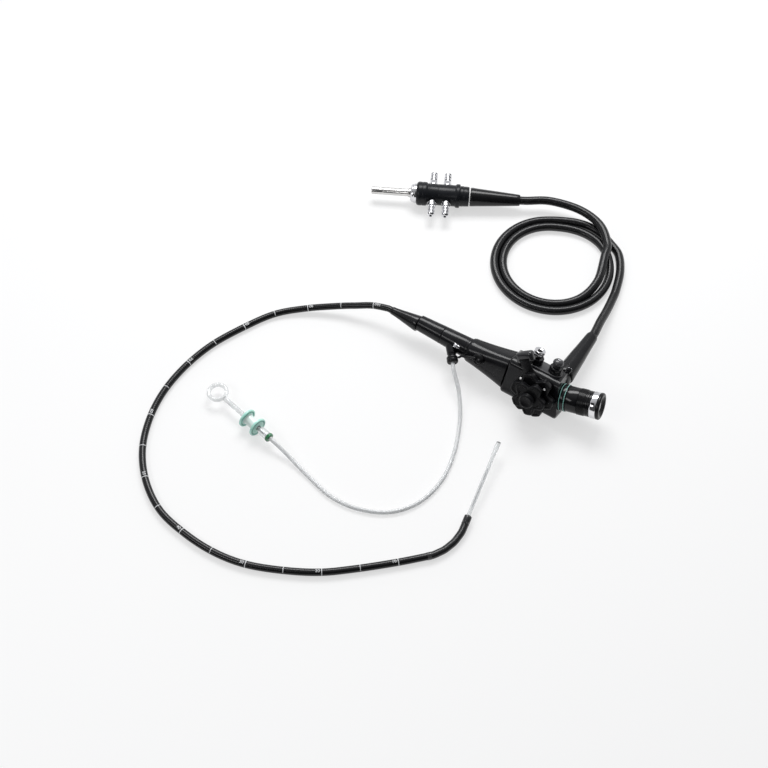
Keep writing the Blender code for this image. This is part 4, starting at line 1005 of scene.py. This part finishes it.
spool_teal = moulded("spool_teal", "teal_plastic", (0.40, 0.80, 0.69), (0.52, 0.86, 0.76), 0.22,
                     coat=0.3)
spool_shader = spool_teal.node_tree.nodes["Principled BSDF"]
spool_shader.inputs["Subsurface Weight"].default_value = 0.25
spool_shader.inputs["Subsurface Radius"].default_value = (0.002, 0.004, 0.003)
spool_pale = moulded("spool_pale", "teal_plastic", (0.72, 0.84, 0.80), (0.82, 0.91, 0.88), 0.25,
                     coat=0.2)
# A darker copy of the spool's teal for rings in the flanges' grooves: painted shade in those
# grooves.
groove_shade_teal = moulded("groove_shade_teal", "teal_plastic", (0.05, 0.30, 0.23), (0.09, 0.38, 0.30), 0.25,
                   coat=0.3)
piece("spool_flanges", joined(turned([
    (10, high), (10.4, high - 0.6), (11.8, high - 0.6), (12.2, high), (13.4, high),
    (14, high - 0.6), (14, low + 0.6), (13.4, low), (12.2, low), (11.8, low + 0.6),
    (10.4, low + 0.6), (10, low), (3.8, low), (3.8, high)], handle, 96, 0.2)
    for low, high in ((59.6, 62.9), (80.8, 84.1))), spool_teal, "spool", body="spool")
piece("spool_hub", turned([(8.8, 81), (7.8, 79.6), (7.5, 78), (7.5, 65.7), (7.8, 64.1),
      (8.8, 62.7), (3.8, 62.7), (3.8, 81)], handle, 96, 0), spool_pale, body="spool", crease=50)
piece("clear_barrel", turned([(0, 103.5), (5.6, 103.5), (5.8, 103.2), (5.8, 91.5), (5.4, 89),
      (4.6, 87.8), (0, 87.8)], handle, 64, 0.2), clear_plastic, "handle_barrel")
piece("barrel_rod", turned([(0, 103), (1.6, 103), (1.6, 88), (0, 88)], handle, 32, 0.2),
      wire_steel)
# Rings of dark teal sunk into the flanges' grooves, as painted shade where the grooves fall dark.
piece("spool_groove_shade", joined(turned([
    (12.1, face - 0.2 * way), (10.5, face - 0.2 * way), (10.5, face - 0.9 * way),
    (12.1, face - 0.9 * way)][::way], handle, 96, 0)
    for face, way in ((62.9, 1), (80.8, -1), (84.1, 1), (59.6, -1))), groove_shade_teal, body="spool",
    crease=30)
collar_green = moulded("collar_green", "green_plastic", (0.012, 0.15, 0.05), (0.03, 0.23, 0.09),
                       0.20, coat=0.5)
piece("green_collar", turned([(0, 108), (5.8, 108), (6.6, 107.4), (6.6, 106.4), (6.2, 106.1),
      (6.2, 105.7), (6.6, 105.4), (6.6, 104.4), (6, 103.8), (0, 103.8)], handle, 64, 0.2),
      collar_green, "handle_collar")
